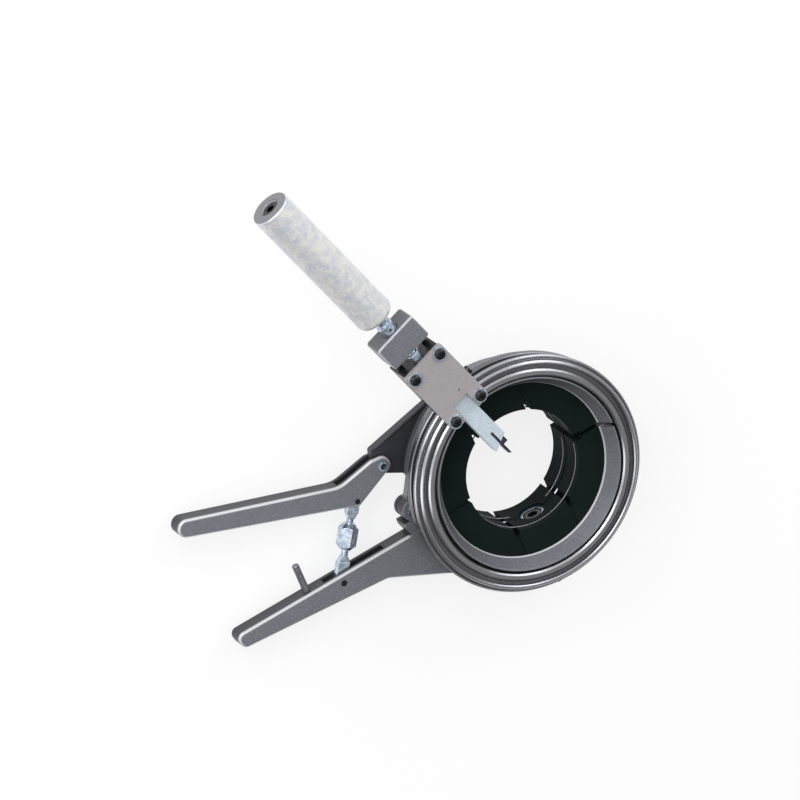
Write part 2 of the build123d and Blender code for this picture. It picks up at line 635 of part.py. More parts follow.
def ring_spacers():
    """Washers that seat the guide ring on the lower half."""
    washers = []
    for angle in ring_screw_angles():
        centre = at_angle(angle, RING_SCREW_CIRCLE)
        washer = disc(centre, RING_SPACER_RADIUS, FLANGE_TOP, RING_BOTTOM)
        washer -= disc(centre, RING_SCREW_RADIUS + PIN_CLEARANCE, FLANGE_TOP - 1, RING_BOTTOM + 1)
        washers.append(washer)
    return Compound(children=washers)


def ring_screws():
    """Socket screws that hold the guide ring from behind."""
    screws = []
    for angle in ring_screw_angles():
        centre = at_angle(angle, RING_SCREW_CIRCLE)
        head_bottom = FLANGE_BOTTOM - RING_SCREW_HEAD_RADIUS
        screw = disc(centre, RING_SCREW_RADIUS, FLANGE_BOTTOM - 1, RING_BOTTOM + RING_SCREW_DEPTH)
        screw += disc(centre, RING_SCREW_HEAD_RADIUS, head_bottom, FLANGE_BOTTOM)
        socket = hexagon(RING_SCREW_SOCKET, head_bottom - 1, head_bottom + RING_SCREW_RADIUS)
        screws.append(screw - Pos(*centre) * socket)
    return Compound(children=screws)


def hinge_pin():
    """Pin of the clamp hinge, flush with the back and just below the flange."""
    return disc(HINGE, HINGE_PIN_RADIUS, ARM_BOTTOM - 1, ARM_TOP + 1)


def lever_pivot_pin():
    """Tubular pin that the lever turns on."""
    pin = disc(LEVER_PIVOT, PIVOT_PIN_RADIUS, ARM_BOTTOM - RIM_CHAMFER, ARM_TOP + RIM_CHAMFER)
    return pin - disc(LEVER_PIVOT, PIVOT_PIN_BORE, 0, ARM_TOP * 2)


def link_top_pin():
    """Pin of the upper link eye, pressed in the lever."""
    return disc(LINK_TOP, LINK_PIN_RADIUS, ARM_BOTTOM, ARM_TOP)


def link_anchor_pin():
    """Pin of the lower link eye, pressed in the fixed handle."""
    return disc(LINK_BOTTOM, ANCHOR_PIN_RADIUS, ARM_BOTTOM, ARM_TOP)


def stop_peg():
    """Peg on the fixed handle that stops the lever."""
    nx, ny = handle_direction()
    origin = (PEG_BASE[0], PEG_BASE[1], ARM_MIDDLE)
    peg = rod(origin, (nx, ny, 0), PEG_RADIUS, -PEG_SEAT, PEG_REACH)
    return fillet(peg.edges().filter_by(GeomType.CIRCLE).sort_by(Axis.Y)[-1], PEG_RADIUS / 2)


def lever_handle():
    """Lever whose forked end holds the arm's tongue and the link."""
    body = rounded_arm(LEVER_OUTLINE, EDGE_ROUNDING)
    body -= pocket(LEVER_OUTLINE, LEVER_POCKET_SPAN)
    body -= fork_slot(LEVER_FORK_END, 0)
    body -= disc(LEVER_PIVOT, PIVOT_PIN_RADIUS + PIN_CLEARANCE, 0, ARM_TOP * 2)
    body -= disc(LINK_TOP, LINK_PIN_RADIUS + PRESS_CLEARANCE, 0, ARM_TOP * 2)
    return body


def link_frame(shape):
    """Place a link piece drawn along +X from the upper pin."""
    return Pos(LINK_TOP[0], LINK_TOP[1], ARM_MIDDLE) * Rot(0, 0, LINK_ANGLE) * shape


def link_bar(start, end, radius):
    """Round part of the link between two distances from the upper pin."""
    return Pos((start + end) / 2, 0, 0) * Rot(0, 90, 0) * Cylinder(radius, end - start)


def upper_link_rod():
    """Flat eye on the lever pin, and the rod that enters the adjuster."""
    half = LINK_THICKNESS / 2
    eye = Cylinder(EYE_RADIUS, LINK_THICKNESS)
    eye += box(0, EYE_LENGTH, -EYE_RADIUS, EYE_RADIUS, -half, half)
    neck = outline([(EYE_LENGTH, EYE_RADIUS, 0), (EYE_LENGTH, -EYE_RADIUS, 0),
                    (EYE_LENGTH + EYE_RADIUS, -ROD_RADIUS, 0), (EYE_LENGTH + EYE_RADIUS, ROD_RADIUS, 0)])
    eye += Pos(0, 0, -ROD_RADIUS) * extrude(neck, 2 * ROD_RADIUS)
    link = eye + link_bar(EYE_LENGTH, NUT_START + ROD_ENGAGEMENT, ROD_RADIUS)
    link -= Cylinder(LINK_PIN_RADIUS + PIN_CLEARANCE, 2 * LINK_THICKNESS)
    return link_frame(link)


def adjuster_nut():
    """Long hexagonal nut with coned ends that sets the grip of the clamp."""
    length = NUT_END - NUT_START
    nut = hexagon(NUT_ACROSS_FLATS, 0, length)
    wide = NUT_ACROSS_FLATS
    cone = make_face(Polyline((0, 0, 0), (NUT_WAIST, 0, 0), (wide / 2 + 1, 0, NUT_CONE + 1),
                              (wide / 2 + 1, 0, length - NUT_CONE - 1), (NUT_WAIST, 0, length),
                              (0, 0, length), close=True))
    nut &= revolve(cone, Axis.Z, 360)
    nut -= Pos(0, 0, length / 2) * Cylinder(ROD_RADIUS + PIN_CLEARANCE, length + 2)
    return link_frame(Pos(NUT_START, 0, 0) * Rot(0, 90, 0) * nut)


def lower_link_rod():
    """Rod out of the adjuster, with a slotted flat eye on the anchor pin."""
    half = LINK_THICKNESS / 2
    eye_end = LINK_LENGTH + ADJUST_TRAVEL
    eye = box(LOWER_EYE_START, eye_end, -EYE_RADIUS, EYE_RADIUS, -half, half)
    eye += Pos(eye_end, 0, 0) * Cylinder(EYE_RADIUS, LINK_THICKNESS)
    neck = outline([(LOWER_EYE_START, EYE_RADIUS, 0), (LOWER_EYE_START, -EYE_RADIUS, 0),
                    (LOWER_EYE_START - EYE_RADIUS, -ROD_RADIUS, 0),
                    (LOWER_EYE_START - EYE_RADIUS, ROD_RADIUS, 0)])
    eye += Pos(0, 0, -ROD_RADIUS) * extrude(neck, 2 * ROD_RADIUS)
    rod_start = NUT_END - ROD_ENGAGEMENT
    link = eye + link_bar(rod_start, LOWER_EYE_START, ROD_RADIUS)
    slot_start = LINK_LENGTH - SLOT_TRAVEL - ADJUST_TRAVEL - SLOT_SIDE_CLEARANCE
    slot_end = LINK_LENGTH + ADJUST_TRAVEL
    slot_half = ANCHOR_PIN_RADIUS + SLOT_SIDE_CLEARANCE
    link -= box(slot_start, slot_end, -slot_half, slot_half, -LINK_THICKNESS, LINK_THICKNESS)
    for place in (slot_start, slot_end):
        link -= Pos(place, 0, 0) * Cylinder(slot_half, 2 * LINK_THICKNESS)
    return link_frame(link)


def carried(shape):
    """Turn a carriage piece from its own directions to its place on the ring."""
    return Rot(0, 0, CARRIAGE_ANGLE) * shape


def plate_screw_places():
    """Centres of the four cover screws in carriage directions."""
    return [(PLATE_MIDDLE + a * SCREW_PITCH_U / 2, b * SCREW_PITCH_V / 2)
            for a in (-1, 1) for b in (-1, 1)]


def cover_plate():
    """Plate over the tool channel, slotted at its inner end."""
    half = PLATE_WIDTH / 2
    sketch = outline([(PLATE_START, -half, PLATE_INNER_CORNER), (PLATE_END, -half, PLATE_OUTER_CORNER),
                      (PLATE_END, half, PLATE_OUTER_CORNER), (PLATE_START, half, PLATE_INNER_CORNER)])
    plate = Pos(0, 0, PLATE_BOTTOM) * extrude(sketch, PLATE_THICKNESS)
    plate -= box(PLATE_START - 1, PLATE_START + PLATE_SLOT_LENGTH, -BAR_WIDTH / 2, BAR_WIDTH / 2,
                 PLATE_BOTTOM - 1, PLATE_TOP + 1)
    for place in plate_screw_places():
        plate -= disc(place, SCREW_RADIUS + SEAT_CLEARANCE, PLATE_BOTTOM - 1, PLATE_TOP + 1)
    plate -= disc(PINHOLE, PINHOLE_RADIUS, PLATE_TOP - PLATE_THICKNESS / 2, PLATE_TOP + 1)
    return carried(plate)


def cover_washers():
    """Bright washers under the cover screws."""
    top = PLATE_TOP + WASHER_THICKNESS
    washers = []
    for place in plate_screw_places():
        washer = disc(place, WASHER_RADIUS, PLATE_TOP, top)
        washer -= disc(place, SCREW_RADIUS + SEAT_CLEARANCE, PLATE_TOP - 1, top + 1)
        washers.append(carried(washer))
    return Compound(children=washers)


def cover_screws():
    """Button-head screws of the cover plate."""
    seat = PLATE_TOP + WASHER_THICKNESS
    screws = []
    for place in plate_screw_places():
        head = disc((0, 0), SCREW_HEAD_RADIUS, seat, seat + SCREW_HEAD_HEIGHT)
        head = fillet(head.edges().group_by(Axis.Z)[-1], SCREW_HEAD_HEIGHT * 0.8)
        head -= hexagon(2 * SCREW_SOCKET_RADIUS, seat + SCREW_HEAD_HEIGHT / 3, seat + 2 * SCREW_HEAD_HEIGHT)
        shank = disc((0, 0), SCREW_RADIUS, PLATE_BOTTOM - SCREW_DEPTH, seat)
        screws.append(carried(Pos(*place) * (head + shank)))
    return Compound(children=screws)


def carriage_block():
    """Block that straddles the ring and holds the tool channel."""
    half = BLOCK_WIDTH / 2
    block = box(PLATE_START, PLATE_END, -half, half, BLOCK_BOTTOM, PLATE_BOTTOM)
    block -= disc((0, 0), RING_RADIUS + RING_CLEARANCE, BLOCK_BOTTOM - 1, BLOCK_OVER_RING)
    block -= disc((0, 0), KEEPER_OUTER, BLOCK_BOTTOM - 1, KEEPER_TOP)
    channel = BAR_WIDTH / 2 + SLIDE_CLEARANCE
    block -= box(PLATE_START - 1, CHANNEL_END, -channel, channel,
                 BAR_BOTTOM - SLIDE_CLEARANCE, PLATE_BOTTOM + 1)
    axis_point = (0, 0, SPINDLE_Z)
    block -= rod(axis_point, (1, 0, 0), JOURNAL_RADIUS + PIN_CLEARANCE, CHANNEL_END - 1, PLATE_END + 1)
    for place in plate_screw_places():
        block -= disc(place, SCREW_RADIUS + PRESS_CLEARANCE, PLATE_BOTTOM - SCREW_DEPTH, PLATE_TOP)
    for side in (-1, 1):
        block -= rod((0, side * GUIDE_ROD_PITCH / 2, SPINDLE_Z - GUIDE_ROD_DROP), (1, 0, 0),
                     GUIDE_ROD_RADIUS + PRESS_CLEARANCE, PLATE_END - GUIDE_ROD_SEAT, PLATE_END + 1)
    block -= rod((LOCK_SCREW_U, 0, PLATE_BOTTOM - LOCK_SCREW_DROP), (0, -1, 0),
                 LOCK_SCREW_RADIUS + PRESS_CLEARANCE, channel - 1, half + 1)
    for angle in (-KEEPER_SCREW_ANGLE, KEEPER_SCREW_ANGLE):
        block -= disc(at_angle(angle, KEEPER_SCREW_CIRCLE), KEEPER_SCREW_RADIUS + PRESS_CLEARANCE,
                      KEEPER_TOP - 1, KEEPER_TOP + SCREW_DEPTH)
    return carried(block)


def guide_shoe():
    """Curved shoe under the block, with a tongue in the ring's front groove."""
    base_bottom = COLLAR_LENGTH + SHOE_CLEARANCE
    tongue_bottom = COLLAR_LENGTH - FRONT_GROOVE_DEPTH + SHOE_CLEARANCE
    inner = FRONT_GROOVE_INNER + SHOE_CLEARANCE
    outer = FRONT_GROOVE_OUTER - SHOE_CLEARANCE
    profile = [(inner, tongue_bottom), (outer, tongue_bottom), (outer, base_bottom),
               (SHOE_TOP_RADIUS, base_bottom), (SHOE_TOP_RADIUS, BLOCK_OVER_RING),
               (inner, BLOCK_OVER_RING)]
    shoe = ring_sector(profile, -SHOE_HALF_ANGLE, 2 * SHOE_HALF_ANGLE)
    return carried(shoe)


def keeper():
    """Curved plate under the block that hooks in the groove of the rim."""
    inner = ROLLER_GROOVE_RADIUS + SHOE_CLEARANCE
    profile = [(inner, KEEPER_BOTTOM), (KEEPER_OUTER - SEAT_CLEARANCE, KEEPER_BOTTOM),
               (KEEPER_OUTER - SEAT_CLEARANCE, KEEPER_TOP), (inner, KEEPER_TOP)]
    plate = ring_sector(profile, -KEEPER_HALF_ANGLE, 2 * KEEPER_HALF_ANGLE)
    for angle in (-KEEPER_SCREW_ANGLE, KEEPER_SCREW_ANGLE):
        centre = at_angle(angle, KEEPER_SCREW_CIRCLE)
        plate -= disc(centre, KEEPER_SCREW_RADIUS + SEAT_CLEARANCE, KEEPER_BOTTOM - 1, KEEPER_TOP + 1)
    return carried(plate)


def keeper_screws():
    """Screws that hold the keeper from below."""
    screws = []
    for angle in (-KEEPER_SCREW_ANGLE, KEEPER_SCREW_ANGLE):
        centre = at_angle(angle, KEEPER_SCREW_CIRCLE)
        screw = disc(centre, KEEPER_SCREW_RADIUS, KEEPER_BOTTOM - 1, KEEPER_TOP + SCREW_DEPTH - 1)
        screw += disc(centre, KEEPER_SCREW_HEAD, KEEPER_BOTTOM - KEEPER_SCREW_HEAD, KEEPER_BOTTOM)
        screws.append(carried(screw))
    return Compound(children=screws)


def yoke_block():
    """Outer block with the spindle bearing."""
    half = YOKE_WIDTH / 2
    yoke = box(YOKE_START, YOKE_END, -half, half, YOKE_BOTTOM, PLATE_TOP)
    yoke = fillet(yoke.edges().filter_by(Axis.Z), YOKE_ROUNDING)
    yoke = fillet(yoke.edges().group_by(Axis.Z)[-1], YOKE_ROUNDING / 2)
    axis_point = (0, 0, SPINDLE_Z)
    yoke -= rod(axis_point, (1, 0, 0), JOURNAL_RADIUS + PIN_CLEARANCE, YOKE_START - 1, YOKE_END + 1)
    yoke -= rod(axis_point, (1, 0, 0), COLLAR_RADIUS + TONGUE_CLEARANCE,
                YOKE_END - COLLAR_POCKET_DEPTH, YOKE_END + 1)
    for side in (-1, 1):
        yoke -= rod((0, side * GUIDE_ROD_PITCH / 2, SPINDLE_Z - GUIDE_ROD_DROP), (1, 0, 0),
                    GUIDE_ROD_RADIUS + PRESS_CLEARANCE, YOKE_START - 1, YOKE_START + GUIDE_ROD_SEAT)
    return carried(yoke)


def guide_rods():
    """Two rods that tie the yoke to the block."""
    rods = []
    for side in (-1, 1):
        origin = (0, side * GUIDE_ROD_PITCH / 2, SPINDLE_Z - GUIDE_ROD_DROP)
        rods.append(carried(rod(origin, (1, 0, 0), GUIDE_ROD_RADIUS, PLATE_END - GUIDE_ROD_SEAT,
                                YOKE_START + GUIDE_ROD_SEAT)))
    return Compound(children=rods)


def side_lock_screw():
    """Screw in the side of the block that locks the tool bar."""
    half = BLOCK_WIDTH / 2
    origin = (LOCK_SCREW_U, 0, PLATE_BOTTOM - LOCK_SCREW_DROP)
    tip = BAR_WIDTH / 2 + 2 * SLIDE_CLEARANCE
    screw = rod(origin, (0, -1, 0), LOCK_SCREW_RADIUS, tip, half + 1)
    head = rod(origin, (0, -1, 0), LOCK_HEAD_RADIUS, half, half + LOCK_HEAD_LENGTH)
    head -= along(origin, (0, -1, 0), hexagon(LOCK_HEAD_RADIUS, half + LOCK_HEAD_LENGTH / 2,
                                              half + 2 * LOCK_HEAD_LENGTH))
    return carried(screw + head)


def feed_spindle():
    """Feed screw, journal and thrust collar in one turned piece."""
    axis_point = (0, 0, SPINDLE_Z)
    out = (1, 0, 0)
    collar_start = YOKE_END - COLLAR_POCKET_DEPTH + THRUST_CLEARANCE
    spindle = rod(axis_point, out, FEED_SCREW_RADIUS, FEED_SCREW_START, JOURNAL_START)
    spindle += rod(axis_point, out, JOURNAL_RADIUS, JOURNAL_START, GRIP_START + SPINDLE_TAIL)
    spindle += rod(axis_point, out, COLLAR_RADIUS, collar_start, YOKE_END + COLLAR_REACH)
    spindle -= rod(axis_point, out, END_SCREW_RADIUS + PRESS_CLEARANCE,
                   GRIP_START + SPINDLE_TAIL / 2, GRIP_START + SPINDLE_TAIL + 1)
    clip_start = YOKE_START - THRUST_CLEARANCE - CLIP_THICKNESS
    groove = rod(axis_point, out, JOURNAL_RADIUS + 1, clip_start, clip_start + CLIP_THICKNESS)
    groove -= rod(axis_point, out, FEED_SCREW_RADIUS, clip_start - 1, YOKE_START)
    return carried(spindle - groove)


def spindle_clip():
    """Retaining clip of the spindle on the inner side of the yoke."""
    clip_start = YOKE_START - THRUST_CLEARANCE - CLIP_THICKNESS
    axis_point = (0, 0, SPINDLE_Z)
    clip = rod(axis_point, (1, 0, 0), CLIP_RADIUS, clip_start, clip_start + CLIP_THICKNESS)
    clip -= rod(axis_point, (1, 0, 0), FEED_SCREW_RADIUS, clip_start - 1, YOKE_START)
    return carried(clip)


def grip():
    """Round grip, bored from its near end, with a recess in its far end."""
    z_place = (0, 0, SPINDLE_Z)
    end_wall = GRIP_LENGTH - GRIP_END_WALL
    body = Pos(0, 0, GRIP_LENGTH / 2) * Cylinder(GRIP_RADIUS, GRIP_LENGTH)
    body = fillet(body.edges().group_by(Axis.Z)[0], GRIP_NEAR_ROUNDING)
    body = fillet(body.edges().group_by(Axis.Z)[-1], GRIP_FAR_ROUNDING)
    body -= Pos(0, 0, (end_wall - 1) / 2) * Cylinder(GRIP_BORE_RADIUS, end_wall + 1)
    body -= Pos(0, 0, GRIP_LENGTH) * Cylinder(END_SCREW_RADIUS + SEAT_CLEARANCE, GRIP_LENGTH)
    body -= Pos(0, 0, GRIP_LENGTH) * Cylinder(END_RECESS_RADIUS, 2 * END_RECESS_DEPTH)
    return carried(along(z_place, (1, 0, 0), Pos(0, 0, GRIP_START) * body))


def grip_plug():
    """Plug in the near end of the grip, on the tail of the spindle."""
    axis_point = (0, 0, SPINDLE_Z)
    plug = rod(axis_point, (1, 0, 0), GRIP_BORE_RADIUS - PRESS_CLEARANCE, GRIP_START, GRIP_START + PLUG_LENGTH)
    plug -= rod(axis_point, (1, 0, 0), JOURNAL_RADIUS + PRESS_CLEARANCE, GRIP_START - 1, GRIP_END)
    return carried(plug)


def grip_end_screw():
    """Long screw that ties the grip to the spindle."""
    axis_point = (0, 0, SPINDLE_Z)
    seat = GRIP_END - END_RECESS_DEPTH
    out = (1, 0, 0)
    screw = rod(axis_point, out, END_SCREW_RADIUS, GRIP_START + SPINDLE_TAIL / 2 + 1, seat)
    head = rod(axis_point, out, END_SCREW_HEAD, seat, seat + END_SCREW_HEIGHT)
    head -= along(axis_point, out, hexagon(2 * END_SOCKET_RADIUS, seat + END_SCREW_HEIGHT / 3, GRIP_END))
    return carried(screw + head)


def tool_slide():
    """Bar that slides in the channel and carries the cutter."""
    half = BAR_WIDTH / 2
    face = outline([(BAR_START, half, 0), (BAR_START + BAR_BEVEL, -half, 0), (BAR_END, -half, 0),
                    (BAR_END, half, 0)])
    bar = Pos(0, 0, BAR_BOTTOM) * extrude(face, BAR_HEIGHT)
    axis_point = (0, 0, SPINDLE_Z)
    bar -= rod(axis_point, (1, 0, 0), FEED_SCREW_RADIUS + TONGUE_CLEARANCE,
               FEED_SCREW_START - TOOL_TRAVEL_OUT - 2, BAR_END + 1)
    bar -= rod(axis_point, (1, 0, 0), NUT_RADIUS + PRESS_CLEARANCE, BAR_END - FEED_NUT_LENGTH, BAR_END + 1)
    slot = CUTTER_WIDTH / 2 + PRESS_CLEARANCE
    bar -= box(BAR_START - 1, BAR_START + CUTTER_SEAT, -slot, slot,
               TOOL_Z - CUTTER_HEIGHT / 2, BAR_TOP + 1)
    bar -= rod((BAR_START + CLAMP_SCREW_INSET, 0, TOOL_Z), (0, -1, 0),
               CLAMP_SCREW_RADIUS + PRESS_CLEARANCE, 0, half + 1)
    return carried(bar)


def feed_nut():
    """Bronze nut in the outer end of the tool bar."""
    axis_point = (0, 0, SPINDLE_Z)
    nut = rod(axis_point, (1, 0, 0), NUT_RADIUS, BAR_END - FEED_NUT_LENGTH, BAR_END)
    nut -= rod(axis_point, (1, 0, 0), FEED_SCREW_RADIUS + PIN_CLEARANCE, BAR_START, BAR_END + 1)
    return carried(nut)


def cutter_bit():
    """Hooked blade that cuts the chamfer."""
    half = CUTTER_WIDTH / 2
    hook_end = BAR_START + BAR_BEVEL / 2 - SEAT_CLEARANCE
    face = outline([(CUTTER_TIP, -half, 0), (hook_end - CUTTER_HOOK_LENGTH, -half, 0),
                    (hook_end - CUTTER_HOOK_LENGTH, -CUTTER_HOOK_WIDTH, 0), (hook_end, -CUTTER_HOOK_WIDTH, 0),
                    (hook_end, -half, 0), (BAR_START + CUTTER_SEAT, -half, 0),
                    (BAR_START + CUTTER_SEAT, half, 0), (CUTTER_TIP + CUTTER_WIDTH, half, 0)])
    return carried(Pos(0, 0, TOOL_Z - CUTTER_HEIGHT / 2) * extrude(face, CUTTER_HEIGHT))


def cutter_clamp_screw():
    """Grub screw that holds the blade in the bar."""
    screw = rod((BAR_START + CLAMP_SCREW_INSET, 0, TOOL_Z), (0, -1, 0), CLAMP_SCREW_RADIUS,
                CUTTER_WIDTH / 2 + PRESS_CLEARANCE, BAR_WIDTH / 2 - SEAT_CLEARANCE)
    return carried(screw)


def all_parts():
    """Every node's name with its shape."""
    parts = {
        "lower_clamp_casting": lower_clamp_casting(),
        "upper_clamp_casting": upper_clamp_casting(),
        "guide_ring": guide_ring(),
        "guide_ring_spacers": ring_spacers(),
        "guide_ring_screws": ring_screws(),
        "hinge_pin": hinge_pin(),
        "stop_peg": stop_peg(),
        "link_anchor_pin": link_anchor_pin(),
        "lever_pivot_pin": lever_pivot_pin(),
        "lever_handle": lever_handle(),
        "link_top_pin": link_top_pin(),
        "upper_link_rod": upper_link_rod(),
        "adjuster_nut": adjuster_nut(),
        "lower_link_rod": lower_link_rod(),
        "carriage_block": carriage_block(),
        "cover_plate": cover_plate(),
        "cover_washers": cover_washers(),
        "cover_screws": cover_screws(),
        "guide_shoe": guide_shoe(),
        "keeper": keeper(),
        "keeper_screws": keeper_screws(),
        "yoke_block": yoke_block(),
        "guide_rods": guide_rods(),
        "side_lock_screw": side_lock_screw(),
        "feed_spindle": feed_spindle(),
        "spindle_clip": spindle_clip(),
        "grip": grip(),
        "grip_plug": grip_plug(),
        "grip_end_screw": grip_end_screw(),
        "tool_slide": tool_slide(),
        "feed_nut": feed_nut(),
        "cutter_bit": cutter_bit(),
        "cutter_clamp_screw": cutter_clamp_screw(),
    }
    for upper, word in ((False, "lower"), (True, "upper")):
        for index, side in enumerate((-1, 0, 1)):
            parts[f"{word}_jaw_{index + 1}"] = jaw(upper, side)
        parts[f"{word}_jaw_bush"] = jaw_bush(upper)
        parts[f"{word}_jaw_bolt"] = jaw_bolt(upper)
        parts[f"{word}_retaining_wire"] = retaining_wire(upper)
    return parts


def main():
    """Write each node to its own file."""
    os.makedirs("parts", exist_ok=True)
    for name, shape in all_parts().items():
        export_step(shape, f"parts/{name}.step")


if __name__ == "__main__":
    main()
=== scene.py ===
"""Studio view of a hand tool that chamfers the end of a plastic pipe.

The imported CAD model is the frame. This script adds link threads, jaw hoops, a lock nut
and other small forms to it, gives every piece its finish, and sets the studio up.
"""

import logging
import math
from dataclasses import dataclass
from enum import Enum
from typing import Any, Sequence

import bmesh
import bpy
from mathutils import Matrix, Vector


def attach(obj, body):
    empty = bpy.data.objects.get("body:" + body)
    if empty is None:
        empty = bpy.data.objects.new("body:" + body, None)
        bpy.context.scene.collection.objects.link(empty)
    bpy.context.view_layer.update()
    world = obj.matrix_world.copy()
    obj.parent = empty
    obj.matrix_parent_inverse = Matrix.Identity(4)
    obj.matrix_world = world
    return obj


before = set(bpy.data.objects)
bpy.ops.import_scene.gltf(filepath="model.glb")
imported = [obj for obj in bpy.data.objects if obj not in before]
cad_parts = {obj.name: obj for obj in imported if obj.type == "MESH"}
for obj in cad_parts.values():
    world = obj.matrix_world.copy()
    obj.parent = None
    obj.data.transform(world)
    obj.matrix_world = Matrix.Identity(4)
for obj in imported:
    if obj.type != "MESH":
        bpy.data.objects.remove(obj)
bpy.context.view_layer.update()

MM = 0.001
LOG = logging.getLogger("chamfering_tool")

Colour = tuple[float, float, float]


class Shade(Enum):
    """Finishes by name."""

    CAST = "cast enamel"
    RING = "turned aluminium"
    BLOCK = "milled aluminium"
    PLATE = "blasted aluminium"
    GRIP = "tumbled aluminium"
    JAW = "moulded jaw"
    BLACK = "blackened steel"
    ZINC = "bright zinc"
    CUTTER = "ground tool steel"
    BRONZE = "bearing bronze"
    PEG = "grey steel"
    BAR = "ground bar"


class Expr:
    """A number socket that takes part in Python arithmetic."""

    def __init__(self, book: "NodeBook", socket: Any) -> None:
        """Keep the socket and the tree that it belongs to.

        Args:
            book: builder of that tree.
            socket: the output that carries the number.
        """
        self.book = book
        self.socket = socket

    def _math(self, operation: str, *values: Any) -> "Expr":
        """Add a Math node to the tree.

        Args:
            operation: the node's operation.
            values: expressions or numbers for its inputs.

        Returns:
            The result as an expression.
        """
        node = self.book.add("ShaderNodeMath", {"operation": operation}, dict(enumerate(values)))
        return Expr(self.book, node.outputs[0])

    def __add__(self, other: Any) -> "Expr":
        """Sum."""
        return self._math("ADD", self, other)

    def __radd__(self, other: Any) -> "Expr":
        """Sum with a number first."""
        return self._math("ADD", other, self)

    def __sub__(self, other: Any) -> "Expr":
        """Difference."""
        return self._math("SUBTRACT", self, other)

    def __rsub__(self, other: Any) -> "Expr":
        """Difference with a number first."""
        return self._math("SUBTRACT", other, self)

    def __mul__(self, other: Any) -> "Expr":
        """Product."""
        return self._math("MULTIPLY", self, other)

    def __rmul__(self, other: Any) -> "Expr":
        """Product with a number first."""
        return self._math("MULTIPLY", other, self)

    def root(self) -> "Expr":
        """Square root."""
        return self._math("SQRT", self)

    def larger(self, other: Any) -> "Expr":
        """The larger of two values.

        Args:
            other: expression or number.

        Returns:
            The larger one.
        """
        return self._math("MAXIMUM", self, other)

    def above(self, limit: float, soft: float) -> "Expr":
        """Rise from 0 to 1 as the value passes a limit.

        Args:
            limit: where the rise starts.
            soft: how wide the rise is.

        Returns:
            The clamped ramp.
        """
        node = self.book.add("ShaderNodeMapRange", {"clamp": True},
                             {"Value": self, "From Min": limit, "From Max": limit + soft})
        return Expr(self.book, node.outputs["Result"])

    def past(self, limit: float, soft: float) -> "Expr":
        """The same ramp for a length that is given in millimetres.

        Args:
            limit: where the rise starts, in millimetres.
            soft: how wide the rise is, in millimetres.

        Returns:
            The clamped ramp.
        """
        return self.above(limit * MM, soft * MM)


class NodeBook:
    """Builds one node tree."""

    def __init__(self, tree: bpy.types.NodeTree) -> None:
        """Empty the tree.

        Args:
            tree: the node tree of a material or a world.
        """
        self.tree = tree
        self.tree.nodes.clear()

    def add(self, kind: str, settings: dict[str, Any] | None = None,
            inputs: dict[Any, Any] | None = None) -> Any:
        """Add one node, set it up and join its inputs.

        Args:
            kind: the node's type.
            settings: attributes that are set first; "stops" fills a colour ramp.
            inputs: socket names or indices with their values, links or expressions.

        Returns:
            The new node.
        """
        node = self.tree.nodes.new(kind)
        for name, value in (settings or {}).items():
            if name == "stops":
                self._fill(node.color_ramp, value)
            else:
                setattr(node, name, value)
        for name, value in (inputs or {}).items():
            self.join(value, node.inputs[name])
        return node

    @staticmethod
    def _fill(ramp: bpy.types.ColorRamp, stops: Sequence[tuple[float, Colour]]) -> None:
        """Fill a smooth colour ramp.

        Args:
            ramp: the ramp, which starts with two stops.
            stops: positions with their colours, in rising order.
        """
        ramp.interpolation = "B_SPLINE"
        elements = ramp.elements
        for index, (position, colour) in enumerate(stops):
            element = elements[index] if index < 2 else elements.new(position)
            element.position = position
            element.color = (*colour, 1.0)

    def join(self, value: Any, socket: Any) -> None:
        """Link or set one input.

        Args:
            value: an expression, a socket, a number or a tuple.
            socket: the input.
        """
        if isinstance(value, Expr):
            self.tree.links.new(value.socket, socket)
        elif isinstance(value, bpy.types.NodeSocket):
            self.tree.links.new(value, socket)
        else:
            socket.default_value = value


